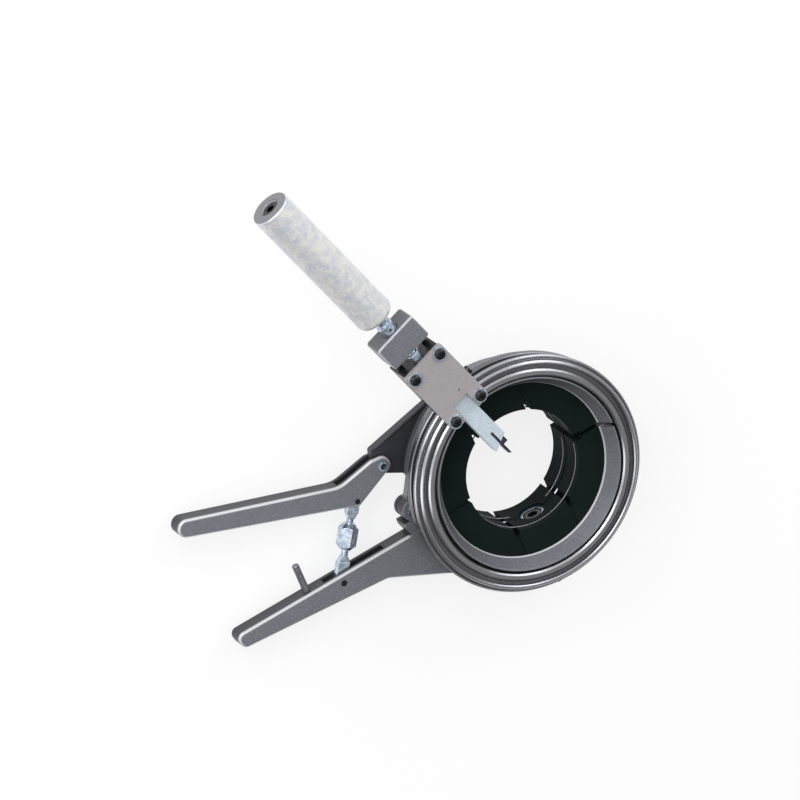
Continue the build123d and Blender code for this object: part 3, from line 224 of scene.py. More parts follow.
class MaterialBook(NodeBook):
    """Builds the node tree of one material."""

    def __init__(self, name: str) -> None:
        """Start a material with its shader and output.

        Args:
            name: the material's name.
        """
        self.material = bpy.data.materials.new(name)
        self.material.use_nodes = True
        super().__init__(self.material.node_tree)
        self.shader = self.add("ShaderNodeBsdfPrincipled")
        self.output = self.add("ShaderNodeOutputMaterial", None, {"Surface": self.shader.outputs[0]})
        self.place = self.add("ShaderNodeTexCoord").outputs["Object"]

    def noise(self, scale: float, detail: float = 3.0, roughness: float = 0.55) -> Expr:
        """Noise on object coordinates.

        Args:
            scale: features per metre.
            detail: octaves.
            roughness: weight of the fine octaves.

        Returns:
            Noise from 0 to 1.
        """
        node = self.add("ShaderNodeTexNoise", {"noise_dimensions": "3D"},
                        {"Vector": self.place, "Scale": scale, "Detail": detail,
                         "Roughness": roughness})
        return Expr(self, node.outputs["Fac"])

    def polar(self) -> tuple[Expr, Expr]:
        """Split the place into its distance from the pipe axis and its height.

        Returns:
            Both in metres.
        """
        parts = self.add("ShaderNodeSeparateXYZ", None, {0: self.place})
        x, y = Expr(self, parts.outputs[0]), Expr(self, parts.outputs[1])
        return (x * x + y * y).root(), Expr(self, parts.outputs[2])

    def turned(self, scale: float) -> Expr:
        """Noise that changes only with the distance from the pipe axis and with height.

        Args:
            scale: features per metre.

        Returns:
            Noise from 0 to 1.
        """
        radius, height = self.polar()
        vector = self.add("ShaderNodeCombineXYZ", None, {0: radius, 1: height})
        node = self.add("ShaderNodeTexNoise", {"noise_dimensions": "3D"},
                        {"Vector": vector.outputs[0], "Scale": scale, "Detail": 2.0})
        return Expr(self, node.outputs["Fac"])

    def mix(self, factor: Any, first: Any, second: Any) -> Any:
        """Mix two colours.

        Args:
            factor: expression or number.
            first: colour or socket at 0.
            second: colour or socket at 1.

        Returns:
            The colour socket.
        """
        node = self.add("ShaderNodeMix", {"data_type": "RGBA", "clamp_factor": True},
                        {0: factor, 6: self._colour(first), 7: self._colour(second)})
        return node.outputs[2]

    @staticmethod
    def _colour(value: Any) -> Any:
        """Complete a colour.

        Args:
            value: three or four numbers, or anything that isn't a colour.

        Returns:
            The colour with its alpha, or the value as it was.
        """
        return (*value, 1.0) if isinstance(value, tuple) and len(value) == 3 else value

    def bump(self, height: Any, strength: float, distance: float, edge: float = 0.0) -> Any:
        """Bump, over softened edges if a radius is given.

        Args:
            height: expression.
            strength: weight of the bump.
            distance: depth in metres.
            edge: radius of the softened edges in metres.

        Returns:
            The normal socket.
        """
        inputs = {"Height": height, "Strength": strength, "Distance": distance}
        if edge:
            inputs["Normal"] = self.add("ShaderNodeBevel", {"samples": 4}, {"Radius": edge}).outputs[0]
        return self.add("ShaderNodeBump", None, inputs).outputs[0]

    def shade(self, **values: Any) -> bpy.types.Material:
        """Set the shader's sockets.

        Args:
            values: what each socket gets, by its name with _ for a space.

        Returns:
            The finished material.
        """
        for name, value in values.items():
            self.join(self._colour(value), self.shader.inputs[name.replace("_", " ")])
        return self.material


@dataclass(frozen=True)
class CastEnamel:
    """Dark grey metallic enamel on a sand casting, with painted shade on the walls of the arms and the
    yoke and painted highlight along their upper edges.

    Heights in the frame and distances from the pipe axis are in millimetres, and each band of painted
    highlight on an edge, which also stands for worn paint, has its height from and to, and its weight.
    The radius of the edges is in metres.
    """

    name: Shade = Shade.CAST
    deep: Colour = (0.072, 0.076, 0.09)
    pale: Colour = (0.225, 0.232, 0.258)
    flake: Colour = (0.42, 0.42, 0.45)
    # painted shade on the walls of the arms and the yoke
    wall_shade: Colour = (0.018, 0.018, 0.026)
    # painted highlight for the upper edges, also used for the lighter band at the cone's foot
    bright: Colour = (0.7, 0.7, 0.72)
    arms_from: float = 83.0
    arms_bottom: float = 6.0
    arms_top: float = 22.6
    yoke_from: float = 140.0
    yoke_bottom: float = 50.0
    yoke_top: float = 73.4
    cone_foot: tuple[float, float] = (44.6, 45.9)
    cone_radius: float = 70.0
    highlight_bands: tuple[tuple[float, float, float], ...] = ((21.4, 23.85, 0.8), (73.6, 75.85, 0.6))
    highlight_from: float = 92.0
    edge: float = 0.0014

    def make(self) -> bpy.types.Material:
        """Build the enamel: flakes, slow cloudiness and a cast grain."""
        book = MaterialBook(self.name.value)
        cloud = book.noise(26.0, 4.0)
        grain = book.noise(1300.0, 2.0)
        flake = book.noise(4200.0, 1.0).above(0.56, 0.1)
        colour = book.mix(cloud * 0.3 + grain.above(0.32, 0.36) * 0.7, self.deep, self.pale)
        colour = book.mix(flake * 0.3, colour, self.flake)
        radius, height = book.polar()
        # painted shade darkens the walls of the arms and the yoke
        arms = self.arm_shade_mask(radius, height)
        colour = book.mix(arms + self.yoke_shade_mask(radius, height) * 0.55, colour, self.wall_shade)
        # painted highlight along the upper edges, and a lighter band at the cone's foot
        colour = book.mix(self.wear_and_highlight(radius, height) * 0.8, colour, self.bright)
        return book.shade(Base_Color=colour, Metallic=0.35, Roughness=0.33 + grain * 0.18,
                          Coat_Weight=0.3 - arms * 0.27, Coat_Roughness=0.16,
                          Normal=book.bump(grain, 0.3, 0.00015, self.edge))

    def arm_shade_mask(self, radius: Expr, height: Expr) -> Expr:
        """Mask of painted shade on the arms below their top face, strongest at the bottom.

        Args:
            radius: distance from the pipe axis.
            height: height along the pipe axis.

        Returns:
            The mask.
        """
        below = 1.0 - height.past(self.arms_top, 0.8)
        fade = 1.0 - height.past(self.arms_bottom, self.arms_top - self.arms_bottom) * 0.15
        return below * radius.past(self.arms_from, 1.5) * fade

    def yoke_shade_mask(self, radius: Expr, height: Expr) -> Expr:
        """Mask of painted shade on the yoke below its top face.

        Args:
            radius: distance from the pipe axis.
            height: height along the pipe axis.

        Returns:
            The mask.
        """
        beyond = height.past(self.yoke_bottom, 1.0) * radius.past(self.yoke_from, 1.0)
        return beyond * (1.0 - height.past(self.yoke_top, 0.8))

    def wear_and_highlight(self, radius: Expr, height: Expr) -> Expr:
        """Mask of a lighter band at the cone's foot and of painted highlight along the upper edges of
        the arms and the yoke, which also stands for worn paint.

        Args:
            radius: distance from the pipe axis.
            height: height along the pipe axis.

        Returns:
            The mask.
        """
        foot, crest = self.cone_foot
        highlight_bands = height.past(foot, 0.2) * (1.0 - height.past(crest, 0.3))
        highlight_bands = highlight_bands * (1.0 - radius.past(self.cone_radius, 1.0))
        outside = radius.past(self.highlight_from, 2.0)
        for low, high, weight in self.highlight_bands:
            highlight_bands = highlight_bands + height.past(low, 0.7) * (1.0 - height.past(high, 0.15)) * outside * weight
        return highlight_bands


@dataclass(frozen=True)
class TurnedMetal:
    """Aluminium turned about the pipe axis, with painted shade in its grooves and below its front
    lands.

    The bands are the grooves, from and to a distance in millimetres from the pipe axis.
    """

    name: Shade = Shade.RING
    dark: Colour = (0.23, 0.23, 0.255)
    light: Colour = (0.42, 0.42, 0.445)
    # painted shade for the grooves and the faces below the front lands
    groove_shade: Colour = (0.018, 0.018, 0.032)
    bands: tuple[tuple[float, float], ...] = ((80.7, 84.2), (87.0, 88.2))
    band_soft: float = 0.35
    lands_from: float = 50.4
    shade_offset: float = 0.45

    def make(self) -> bpy.types.Material:
        """Build the turned metal."""
        book = MaterialBook(self.name.value)
        marks = book.turned(2600.0)
        wide = book.turned(420.0)
        stain = book.noise(60.0, 4.0)
        colour = book.mix(marks * 0.6 + stain * 0.4, self.dark, self.light)
        radius, height = book.polar()
        # painted shade: darker below the front lands and in the groove bands
        painted_shade = 1.0 - height.past(self.lands_from, 0.3) * 0.55
        soft = self.band_soft
        for inner, outer in self.bands:
            inside = radius.past(inner, soft) * (1.0 - radius.past(outer - soft, soft))
            painted_shade = painted_shade.larger(inside * 0.96)
        colour = book.mix(painted_shade - self.shade_offset, colour, self.groove_shade)
        rough = 0.17 + wide * 0.14 + stain * 0.08
        return book.shade(Base_Color=colour, Metallic=0.95, Roughness=rough,
                          Normal=book.bump(marks, 0.3, 0.00012, 0.0007))


@dataclass(frozen=True)
class MottledMetal:
    """Metal with a mottled tone and a fine grain."""

    name: Shade
    dark: Colour
    light: Colour
    metallic: float
    roughness: float
    mottle: float
    grain: float = 2400.0
    depth: float = 0.0001
    edge: float = 0.0004

    def make(self) -> bpy.types.Material:
        """Build the mottled metal."""
        book = MaterialBook(self.name.value)
        mottle = book.noise(self.mottle, 5.0, 0.62)
        grain = book.noise(self.grain, 2.0, 0.5)
        tone = mottle.above(0.36, 0.3) * 0.7 + grain * 0.3
        colour = book.mix(tone, self.dark, self.light)
        rough = self.roughness + grain * 0.14 - mottle * 0.06
        return book.shade(Base_Color=colour, Metallic=self.metallic, Roughness=rough,
                          Normal=book.bump(grain, 0.4, self.depth, self.edge))


@dataclass(frozen=True)
class GripMetal:
    """Tumbled aluminium with warm and cool blotches, and painted shade on its far end."""

    name: Shade = Shade.GRIP
    cool: Colour = (0.44, 0.47, 0.53)
    warm: Colour = (0.66, 0.635, 0.6)
    fleck: Colour = (0.9, 0.9, 0.88)
    # painted shade for the far end
    end_shade: Colour = (0.13, 0.13, 0.145)
    end_shade_from: float = 312.3

    def make(self) -> bpy.types.Material:
        """Build the tumbled metal."""
        book = MaterialBook(self.name.value)
        blotch = book.noise(150.0, 4.0, 0.6)
        grain = book.noise(1100.0, 3.0, 0.6)
        colour = book.mix(blotch.above(0.38, 0.24) * 0.75 + grain * 0.25, self.cool, self.warm)
        colour = book.mix(grain.above(0.55, 0.1) * 0.5, colour, self.fleck)
        radius, _ = book.polar()
        # painted shade on the far end
        colour = book.mix(radius.past(self.end_shade_from, 0.4) * 0.9, colour, self.end_shade)
        return book.shade(Base_Color=colour, Metallic=0.3, Roughness=0.3 + grain * 0.2,
                          Normal=book.bump(grain, 0.4, 0.00014, 0.0005))


@dataclass(frozen=True)
class JawPlastic:
    """Black-green moulded plastic."""

    name: Shade = Shade.JAW
    deep: Colour = (0.003, 0.0065, 0.0065)
    pale: Colour = (0.006, 0.011, 0.011)
    dust: Colour = (0.08, 0.09, 0.09)

    def make(self) -> bpy.types.Material:
        """Build the plastic: faint cloudiness, dust and a moulded grain."""
        book = MaterialBook(self.name.value)
        cloud = book.noise(70.0, 4.0)
        grain = book.noise(1900.0, 2.0)
        dust = book.noise(420.0, 5.0, 0.7).above(0.6, 0.15)
        colour = book.mix(cloud, self.deep, self.pale)
        colour = book.mix(dust * 0.06, colour, self.dust)
        return book.shade(Base_Color=colour, Roughness=0.55 + grain * 0.2, Specular_IOR_Level=0.06,
                          Normal=book.bump(grain, 0.3, 0.00015, 0.0005))


@dataclass(frozen=True)
class BlackSteel:
    """Oiled black oxide."""

    name: Shade = Shade.BLACK
    oxide: Colour = (0.004, 0.004, 0.005)
    rubbed: Colour = (0.05, 0.05, 0.06)

    def make(self) -> bpy.types.Material:
        """Build the black oxide."""
        book = MaterialBook(self.name.value)
        grain = book.noise(2600.0, 3.0)
        rub = book.noise(500.0, 4.0).above(0.62, 0.12)
        colour = book.mix(rub * 0.2, self.oxide, self.rubbed)
        return book.shade(Base_Color=colour, Metallic=0.0, Roughness=0.13 + grain * 0.1,
                          Specular_IOR_Level=0.45,
                          Normal=book.bump(grain, 0.2, 0.00008, 0.0002))


FINISHES: tuple[Any, ...] = (
    CastEnamel(), TurnedMetal(), GripMetal(), JawPlastic(), BlackSteel(),
    MottledMetal(Shade.BLOCK, dark=(0.018, 0.018, 0.022), light=(0.05, 0.05, 0.055),
                 metallic=0.7, roughness=0.3, mottle=120.0),
    MottledMetal(Shade.PLATE, dark=(0.275, 0.252, 0.258), light=(0.35, 0.325, 0.332),
                 metallic=0.2, roughness=0.5, mottle=900.0, grain=3000.0),
    MottledMetal(Shade.ZINC, dark=(0.22, 0.32, 0.46), light=(0.86, 0.92, 0.97),
                 metallic=0.92, roughness=0.15, mottle=260.0, grain=2600.0, depth=0.00006),
    MottledMetal(Shade.PEG, dark=(0.14, 0.14, 0.16), light=(0.26, 0.26, 0.29),
                 metallic=0.7, roughness=0.26, mottle=400.0),
    MottledMetal(Shade.BAR, dark=(0.44, 0.52, 0.57), light=(0.64, 0.72, 0.78),
                 metallic=0.35, roughness=0.36, mottle=800.0, grain=2600.0, depth=0.00006),
    MottledMetal(Shade.CUTTER, dark=(0.03, 0.028, 0.05), light=(0.09, 0.085, 0.13),
                 metallic=0.8, roughness=0.25, mottle=300.0),
    MottledMetal(Shade.BRONZE, dark=(0.35, 0.22, 0.08), light=(0.55, 0.38, 0.17),
                 metallic=0.9, roughness=0.3, mottle=200.0),
)


class Workshop:
    """Materials and helpers that the sub-assemblies share."""

    def __init__(self) -> None:
        """Make every finish once."""
        self.materials = {finish.name: finish.make() for finish in FINISHES}

    def dress(self, shade: Shade, *names: str) -> None:
        """Give CAD nodes a finish.

        Args:
            shade: the finish.
            names: the nodes.
        """
        for name in names:
            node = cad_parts[name]
            if not node.material_slots:
                node.data.materials.append(self.materials[shade])
            for slot in node.material_slots:
                slot.material = self.materials[shade]
            LOG.info("dressed %s in %s", name, shade.value)

    def piece(self, name: str, mesh: bmesh.types.BMesh, shade: Shade, body: str,
              slot: str, smooth: bool = True) -> bpy.types.Object:
        """Turn a bmesh into a finished piece that rides on a body.

        Args:
            name: the piece's name.
            mesh: its shape, already in place.
            shade: its finish.
            body: the body that carries it.
            slot: the record's material slot; not used.
            smooth: whether its faces are smooth.

        Returns:
            The new object.
        """
        data = bpy.data.meshes.new(name)
        mesh.to_mesh(data)
        mesh.free()
        for polygon in data.polygons:
            polygon.use_smooth = smooth
        data.materials.append(self.materials[shade])
        thing = bpy.data.objects.new(name, data)
        bpy.context.scene.collection.objects.link(thing)
        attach(thing, body)
        LOG.info("made %s on %s", name, body)
        return thing


def placed(origin: Sequence[float], direction: Sequence[float]) -> Matrix:
    """Matrix that turns +Z to a direction and moves to an origin.

    Args:
        origin: where the shape's own origin goes, in metres.
        direction: where its +Z points.

    Returns:
        The matrix.
    """
    turn = Vector(direction).to_track_quat("Z", "Y").to_matrix().to_4x4()
    return Matrix.Translation(Vector(origin)) @ turn


@dataclass
class Screwthread:
    """Helical ridge on a rod, drawn along +Z, with its lengths in metres."""

    root: float
    crest: float
    pitch: float
    length: float
    steps_per_turn: int = 28
    foot: float = 0.42

    def mesh(self, place: Matrix) -> bmesh.types.BMesh:
        """Spin a closed triangle up the rod.

        Args:
            place: where the thread goes.

        Returns:
            The ridge as a closed mesh.
        """
        shape = bmesh.new()
        half = self.pitch * self.foot
        corners = [shape.verts.new(point) for point in
                   ((self.root, 0, -half), (self.crest, 0, 0), (self.root, 0, half))]
        face = shape.faces.new(corners)
        turns = (self.length - 2 * half) / self.pitch
        steps = int(turns * self.steps_per_turn)
        bmesh.ops.spin(shape, geom=[face, *face.edges, *face.verts], axis=(0, 0, 1), cent=(0, 0, 0),
                       dvec=(0, 0, turns * self.pitch / steps), angle=turns * math.tau,
                       steps=steps, use_duplicate=False)
        bmesh.ops.translate(shape, verts=shape.verts, vec=(0, 0, half))
        bmesh.ops.recalc_face_normals(shape, faces=shape.faces)
        bmesh.ops.transform(shape, matrix=place, verts=shape.verts)
        return shape


@dataclass
class Turned:
    """Solid of revolution about +Z, from distances and heights in millimetres."""

    profile: Sequence[tuple[float, float]]
    steps: int = 48

    def mesh(self, place: Matrix) -> bmesh.types.BMesh:
        """Spin the profile, which starts and ends on the axis.

        Args:
            place: where the solid goes.

        Returns:
            The closed solid.
        """
        shape = bmesh.new()
        points = [shape.verts.new((radius * MM, 0, height * MM)) for radius, height in self.profile]
        edges = [shape.edges.new(pair) for pair in zip(points, points[1:])]
        bmesh.ops.spin(shape, geom=[*points, *edges], axis=(0, 0, 1), cent=(0, 0, 0),
                       angle=math.tau, steps=self.steps, use_merge=True)
        bmesh.ops.remove_doubles(shape, verts=shape.verts, dist=1e-7)
        bmesh.ops.recalc_face_normals(shape, faces=shape.faces)
        bmesh.ops.transform(shape, matrix=place, verts=shape.verts)
        return shape


@dataclass
class Hoop:
    """Round wire bent to an arc about +Z, in millimetres and degrees."""

    bend: float
    wire: float
    start: float
    sweep: float
    sides: int = 12
    steps: int = 64

    def mesh(self, place: Matrix) -> bmesh.types.BMesh:
        """Spin the wire's section along the arc.

        Args:
            place: where the hoop goes.

        Returns:
            The closed solid.
        """
        shape = bmesh.new()
        turn = Matrix.Rotation(math.radians(self.start), 4, "Z")
        upright = Matrix.Rotation(math.pi / 2, 4, "X")
        section = turn @ Matrix.Translation((self.bend * MM, 0, 0)) @ upright
        bmesh.ops.create_circle(shape, cap_ends=True, segments=self.sides, radius=self.wire * MM,
                                matrix=section)
        first = [*shape.verts, *shape.edges, *shape.faces]
        bmesh.ops.spin(shape, geom=first, axis=(0, 0, 1), cent=(0, 0, 0),
                       angle=math.radians(self.sweep), steps=self.steps, use_duplicate=False)
        bmesh.ops.recalc_face_normals(shape, faces=shape.faces)
        bmesh.ops.transform(shape, matrix=place, verts=shape.verts)
        return shape


@dataclass
class Prism:
    """Prism with softened edges, drawn about +Z, in millimetres."""

    corners: Sequence[tuple[float, float]]
    height: float
    soft: float = 0.4

    def mesh(self, place: Matrix) -> bmesh.types.BMesh:
        """Extrude the outline and bevel every edge.

        Args:
            place: where the prism goes.

        Returns:
            The closed solid.
        """
        shape = bmesh.new()
        face = shape.faces.new([shape.verts.new((x * MM, y * MM, 0)) for x, y in self.corners])
        grown = bmesh.ops.extrude_face_region(shape, geom=[face])["geom"]
        moved = [item for item in grown if isinstance(item, bmesh.types.BMVert)]
        bmesh.ops.translate(shape, verts=moved, vec=(0, 0, self.height * MM))
        bmesh.ops.recalc_face_normals(shape, faces=shape.faces)
        bmesh.ops.bevel(shape, geom=shape.edges[:], offset=self.soft * MM, offset_type="OFFSET",
                        affect="EDGES", segments=3, profile=0.5, material=-1)
        bmesh.ops.transform(shape, matrix=place, verts=shape.verts)
        return shape


def hexagon(across_flats: float) -> list[tuple[float, float]]:
    """Find the corners of a hexagon about the origin.

    Args:
        across_flats: its width from flat to flat.

    Returns:
        The six corners, anticlockwise.
    """
    radius = across_flats / math.sqrt(3)
    angles = [i * math.pi / 3 for i in range(6)]
    return [(radius * math.cos(angle), radius * math.sin(angle)) for angle in angles]


@dataclass
class Collar:
    """Split collar with its jaws, their bolts and the guide ring.

    Each hoop has its height, and the start and sweep of its arc from the split on.
    """

    shop: Workshop
    halves: tuple[str, str] = ("lower", "upper")
    rim_start: tuple[float, float] = (-72.0, 47.5)
    rim_end: tuple[float, float] = (-109.8, 16.5)
    rim_width: float = 2.0
    rim_bottom: float = 18.9
    rim_rise: float = 1.2
    rim_soft: float = 0.5
    split: float = 27.0
    open_angle: float = 1.2
    hinge: tuple[float, float] = (-76.5, -31.5)
    hoop_arcs: tuple[tuple[float, float, float], ...] = (
        (17.0, 8.0, 62.0), (17.0, 110.0, 62.0), (38.5, 6.0, 168.0))
    hoop_bend: float = 45.15
    hoop_wire: float = 0.5

    def build(self) -> None:
        """Dress the castings, the jaws and the ring, and add the rim and the hoops."""
        for word in self.halves:
            self.shop.dress(Shade.CAST, f"{word}_clamp_casting")
            self.shop.dress(Shade.JAW, *(f"{word}_jaw_{i}" for i in (1, 2, 3)))
            self.shop.dress(Shade.ZINC, f"{word}_jaw_bush", f"{word}_retaining_wire")
            self.shop.dress(Shade.BLACK, f"{word}_jaw_bolt")
        self.shop.dress(Shade.ZINC, "hinge_pin", "guide_ring_spacers")
        self.shop.dress(Shade.BLACK, "guide_ring_screws")
        self.shop.dress(Shade.RING, "guide_ring")
        self.rim()
        self.hoops()

    def hoops(self) -> None:
        """Lay the spring wires that show in the bore."""
        middle = Matrix.Translation((self.hinge[0] * MM, self.hinge[1] * MM, 0))
        opened = middle @ Matrix.Rotation(math.radians(self.open_angle), 4, "Z") @ middle.inverted()
        halves = (("lower", self.split + 180.0, Matrix()), ("upper", self.split, opened))
        for word, first, lift in halves:
            for index, (height, start, sweep) in enumerate(self.hoop_arcs):
                hoop = Hoop(self.hoop_bend, self.hoop_wire, first + start, sweep)
                place = lift @ Matrix.Translation((0, 0, height * MM))
                name = f"{word}_jaw_hoop_{index + 1}"
                self.shop.piece(name, hoop.mesh(place), Shade.PEG, f"{word}_clamp", "bright_zinc")

    def rim(self) -> None:
        """Raise a bead along the outer edge of the upper arm."""
        (x0, y0), (x1, y1) = self.rim_start, self.rim_end
        length = math.hypot(x1 - x0, y1 - y0)
        corners = [(0, 0), (length, 0), (length, self.rim_width), (0, self.rim_width)]
        turn = Matrix.Rotation(math.atan2(y1 - y0, x1 - x0), 4, "Z")
        place = Matrix.Translation((x0 * MM, y0 * MM, self.rim_bottom * MM)) @ turn
        mesh = Prism(corners, self.rim_rise, self.rim_soft).mesh(place)
        self.shop.piece("upper_arm_rim", mesh, Shade.CAST, "upper_clamp", "cast_paint")


@dataclass
class Handles:
    """Lever, fixed handle and the pins between them."""

    shop: Workshop
    pivot: tuple[float, float] = (-102.7, 3.9)
    core_radius: float = 2.15
    core_bottom: float = 8.4
    core_top: float = 23.4
    core_soft: float = 0.3

    def build(self) -> None:
        """Dress the lever and its pins, and fill the tubular pin."""
        self.shop.dress(Shade.CAST, "lever_handle")
        self.shop.dress(Shade.PEG, "stop_peg")
        self.shop.dress(Shade.ZINC, "lever_pivot_pin")
        self.shop.dress(Shade.BLACK, "link_top_pin", "link_anchor_pin")
        rise = self.core_top - self.core_bottom
        wide, soft = self.core_radius, self.core_soft
        core = Turned([(0, 0), (wide, 0), (wide, rise - soft), (wide - soft, rise), (0, rise)])
        x, y = self.pivot
        place = Matrix.Translation((x * MM, y * MM, self.core_bottom * MM))
        self.shop.piece("pivot_core", core.mesh(place), Shade.BLACK, "upper_clamp", "black_steel")


@dataclass
class Turnbuckle:
    """Adjustable link between the lever and the fixed handle."""

    shop: Workshop
    top: tuple[float, float, float] = (-121.3, -21.5, 16.0)
    bottom: tuple[float, float, float] = (-127.8, -83.3, 16.0)
    root: float = 2.42
    crest: float = 2.8
    pitch: float = 0.8
    upper_run: tuple[float, float] = (14.6, 18.6)
    lower_run: tuple[float, float] = (39.6, 44.0)

    def build(self) -> None:
        """Dress the link and cut its threads."""
        self.shop.dress(Shade.ZINC, "upper_link_rod", "adjuster_nut", "lower_link_rod")
        start, end = Vector(self.top) * MM, Vector(self.bottom) * MM
        way = (end - start).normalized()
        for name, run, body in (("upper_rod_thread", self.upper_run, "link_top"),
                                ("lower_rod_thread", self.lower_run, "link_bottom")):
            length = (run[1] - run[0]) * MM
            thread = Screwthread(self.root * MM, self.crest * MM, self.pitch * MM, length)
            mesh = thread.mesh(placed(start + way * run[0] * MM, way))
            self.shop.piece(name, mesh, Shade.ZINC, body, "bright_zinc", smooth=False)


@dataclass
class Carriage:
    """Tool carriage with its plate, yoke, spindle and grip."""

    shop: Workshop
    angle: float = math.radians(136.0)
    axis_height: float = 66.45
    lock_nut_start: float = 143.6
    lock_nut_length: float = 5.2
    lock_nut_flats: float = 10.5
    pin_at: float = 177.0
    pin_radius: float = 1.0
    pin_reach: float = 6.9
    pin_soft: float = 0.3
    pin_steps: int = 24

    def build(self) -> None:
        """Dress the carriage, and add the lock nut and the collar's pin."""
        self.shop.dress(Shade.BLOCK, "carriage_block")
        self.shop.dress(Shade.PLATE, "cover_plate")
        self.shop.dress(Shade.CAST, "yoke_block")
        # the guide rods get the black finish as painted shade for the gap between the yoke and the
        # plate
        self.shop.dress(Shade.BLACK, "cover_screws", "keeper_screws", "side_lock_screw",
                        "grip_end_screw", "cutter_clamp_screw", "guide_rods", "spindle_clip")
        self.shop.dress(Shade.ZINC, "cover_washers", "feed_spindle")
        self.shop.dress(Shade.BAR, "tool_slide")
        self.shop.dress(Shade.BRONZE, "guide_shoe", "keeper", "feed_nut")
        self.shop.dress(Shade.GRIP, "grip", "grip_plug")
        self.shop.dress(Shade.CUTTER, "cutter_bit")
        nut = Prism(hexagon(self.lock_nut_flats), self.lock_nut_length)
        mesh = nut.mesh(self.on_axis(self.lock_nut_start))
        self.shop.piece("spindle_lock_nut", mesh, Shade.ZINC, "feed", "bright_zinc")
        wide, reach, soft = self.pin_radius, self.pin_reach, self.pin_soft
        pin = Turned([(0, -reach), (wide - soft, -reach), (wide, soft - reach),
                      (wide, reach - soft), (wide - soft, reach), (0, reach)], self.pin_steps)
        place = Matrix.Translation(self.centre(self.pin_at))
        self.shop.piece("collar_pin", pin.mesh(place), Shade.BLACK, "feed", "black_steel")

    def direction(self) -> tuple[float, float, float]:
        """Find the direction of the spindle.

        Returns:
            A unit vector that points away from the pipe axis.
        """
        return math.cos(self.angle), math.sin(self.angle), 0.0

    def centre(self, distance: float) -> Vector:
        """Find a point on the spindle's axis.

        Args:
            distance: from the pipe axis, in millimetres.

        Returns:
            The point in metres.
        """
        return (Vector(self.direction()) * distance + Vector((0, 0, self.axis_height))) * MM

    def on_axis(self, distance: float) -> Matrix:
        """Place a piece along the spindle's axis.

        Args:
            distance: from the pipe axis, in millimetres.

        Returns:
            The matrix.
        """
        return placed(self.centre(distance), self.direction())


@dataclass(frozen=True)
class Lamp:
    """Soft strip lamp: name, place, width and height in metres, power in watts."""

    name: str
    place: tuple[float, float, float]
    size: tuple[float, float]
    power: float


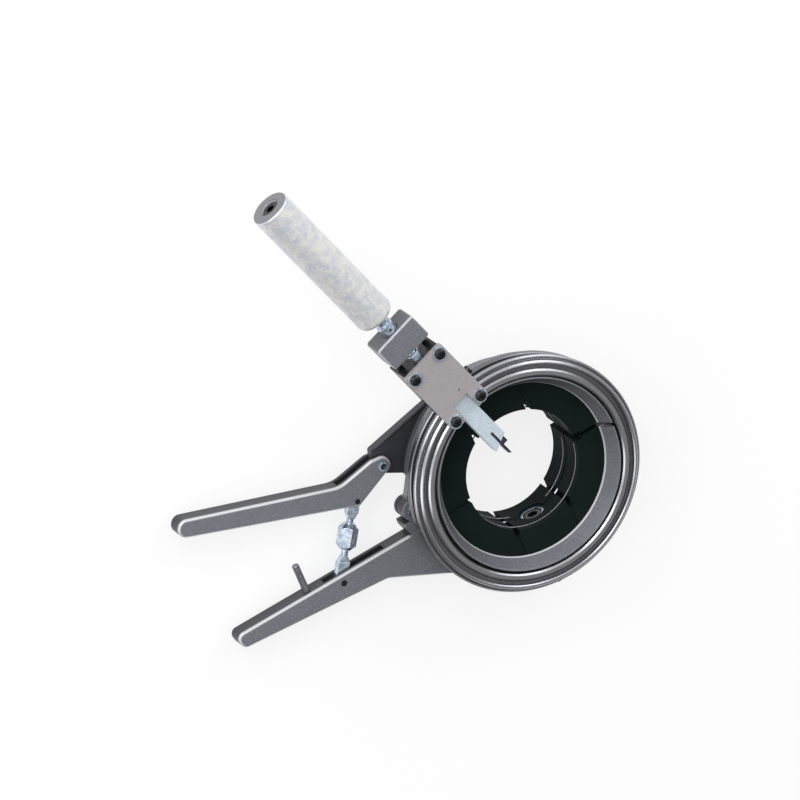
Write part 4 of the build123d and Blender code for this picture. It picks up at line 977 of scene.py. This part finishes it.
@dataclass
class Studio:
    """Floor, lamps, world and camera."""

    tilt: float = math.radians(30.0)
    lean: float = math.radians(145.0)
    scale: float = 0.000726
    frame_pixels: float = 800.0
    lip_pixel: tuple[float, float] = (530.5, 475.7)
    lip_height: float = 0.057
    distance: float = 6.0
    sensor: float = 36.0
    floor_size: float = 7.0
    floor_colour: tuple[float, float, float, float] = (0.8, 0.8, 0.8, 1.0)
    floor_glow: float = 0.8
    lamps: tuple[Lamp, ...] = (
        Lamp("key", (-1.22, 0.86, 0.95), (1.3, 0.8), 15.0),
        Lamp("side", (0.75, 1.3, 0.8), (1.0, 0.8), 10.0),
        Lamp("left", (-1.35, -0.65, 0.75), (0.7, 0.7), 5.0))
    lamp_target: tuple[float, float, float] = (-0.04, 0.02, 0.03)
    light_from: tuple[float, float, float] = (-0.346, 0.742, 0.574)
    room: tuple[tuple[float, float], ...] = ((0.25, 0.03), (0.56, 0.27), (0.72, 0.9), (0.9, 1.0))
    room_blue: float = 1.02
    room_strength: float = 1.2

    def axes(self) -> tuple[Vector, Vector, Vector]:
        """Find the directions of the camera.

        Returns:
            Right, up and backward.
        """
        lean = Vector((math.cos(self.lean), math.sin(self.lean), 0.0))
        side = Vector((math.sin(self.lean), -math.cos(self.lean), 0.0))
        back = lean * math.sin(self.tilt) + Vector((0, 0, math.cos(self.tilt)))
        slope = lean * math.cos(self.tilt) - Vector((0, 0, math.sin(self.tilt)))
        right = side * math.cos(self.lean - math.pi / 2) + slope * math.cos(self.lean)
        up = side * math.sin(self.lean - math.pi / 2) + slope * math.sin(self.lean)
        return right, up, back

    def camera(self) -> None:
        """Set the camera at the photograph's angle."""
        right, up, back = self.axes()
        half = self.frame_pixels / 2
        centre = Vector((0, 0, self.lip_height))
        centre -= right * (self.lip_pixel[0] - half) * self.scale
        centre -= up * (half - self.lip_pixel[1]) * self.scale
        data = bpy.data.cameras.new("camera")
        data.sensor_width = self.sensor
        data.lens = self.sensor * self.distance / (self.frame_pixels * self.scale)
        data.clip_end = 50.0
        view = bpy.data.objects.new("camera", data)
        turn = Matrix((right, up, back)).transposed().to_4x4()
        view.matrix_world = Matrix.Translation(centre + back * self.distance) @ turn
        bpy.context.scene.collection.objects.link(view)
        bpy.context.scene.camera = view

    def hang(self, lamp: Lamp) -> None:
        """Hang one lamp that looks at the tool.

        Args:
            lamp: what to hang.
        """
        data = bpy.data.lights.new(lamp.name, "AREA")
        data.shape = "RECTANGLE"
        data.size, data.size_y = lamp.size
        data.energy = lamp.power
        thing = bpy.data.objects.new(lamp.name, data)
        aim = (Vector(self.lamp_target) - Vector(lamp.place)).to_track_quat("-Z", "Y")
        thing.matrix_world = Matrix.Translation(lamp.place) @ aim.to_matrix().to_4x4()
        bpy.context.scene.collection.objects.link(thing)

    def floor(self) -> None:
        """Lay the pale floor, which the camera sees nearly white."""
        shape = bmesh.new()
        bmesh.ops.create_grid(shape, x_segments=1, y_segments=1, size=self.floor_size / 2)
        data = bpy.data.meshes.new("floor")
        shape.to_mesh(data)
        shape.free()
        floor = bpy.data.objects.new("floor", data)
        bpy.context.scene.collection.objects.link(floor)
        book = MaterialBook("floor")
        book.shade(Base_Color=self.floor_colour, Roughness=0.9)
        glow = book.add("ShaderNodeEmission", None, {"Color": (1, 1, 1, 1), "Strength": 1.0})
        path = book.add("ShaderNodeLightPath").outputs
        seen = Expr(book, path["Is Camera Ray"])
        for ray in ("Is Glossy Ray", "Is Transmission Ray"):
            seen = seen.larger(Expr(book, path[ray]))
        blend = book.add("ShaderNodeMixShader", None,
                         {0: seen * self.floor_glow, 1: book.shader.outputs[0], 2: glow.outputs[0]})
        book.join(blend.outputs[0], book.output.inputs["Surface"])
        data.materials.append(book.material)

    def world(self) -> None:
        """Light the room brightly from one side and dimly from the other."""
        world = bpy.data.worlds.new("room")
        world.use_nodes = True
        book = NodeBook(world.node_tree)
        place = book.add("ShaderNodeTexCoord").outputs["Generated"]
        toward = book.add("ShaderNodeVectorMath", {"operation": "DOT_PRODUCT"},
                          {0: place, 1: self.light_from})
        spread = book.add("ShaderNodeMapRange", None,
                          {"Value": toward.outputs["Value"], "From Min": -1.0})
        stops = [(at, (level, level, level * self.room_blue)) for at, level in self.room]
        ramp = book.add("ShaderNodeValToRGB", {"stops": stops}, {0: spread.outputs["Result"]})
        glow = book.add("ShaderNodeBackground", None,
                        {"Color": ramp.outputs[0], "Strength": self.room_strength})
        book.add("ShaderNodeOutputWorld", None, {"Surface": glow.outputs[0]})
        bpy.context.scene.world = world

    def build(self) -> None:
        """Set the whole studio up."""
        bpy.context.scene.view_settings.view_transform = "Standard"
        self.camera()
        self.floor()
        self.world()
        for lamp in self.lamps:
            self.hang(lamp)


def main() -> None:
    """Build the tool and the studio."""
    logging.basicConfig(level=logging.INFO)
    Studio().build()
    shop = Workshop()
    for part in (Collar(shop), Handles(shop), Turnbuckle(shop), Carriage(shop)):
        part.build()


if __name__ == "__main__":
    main()
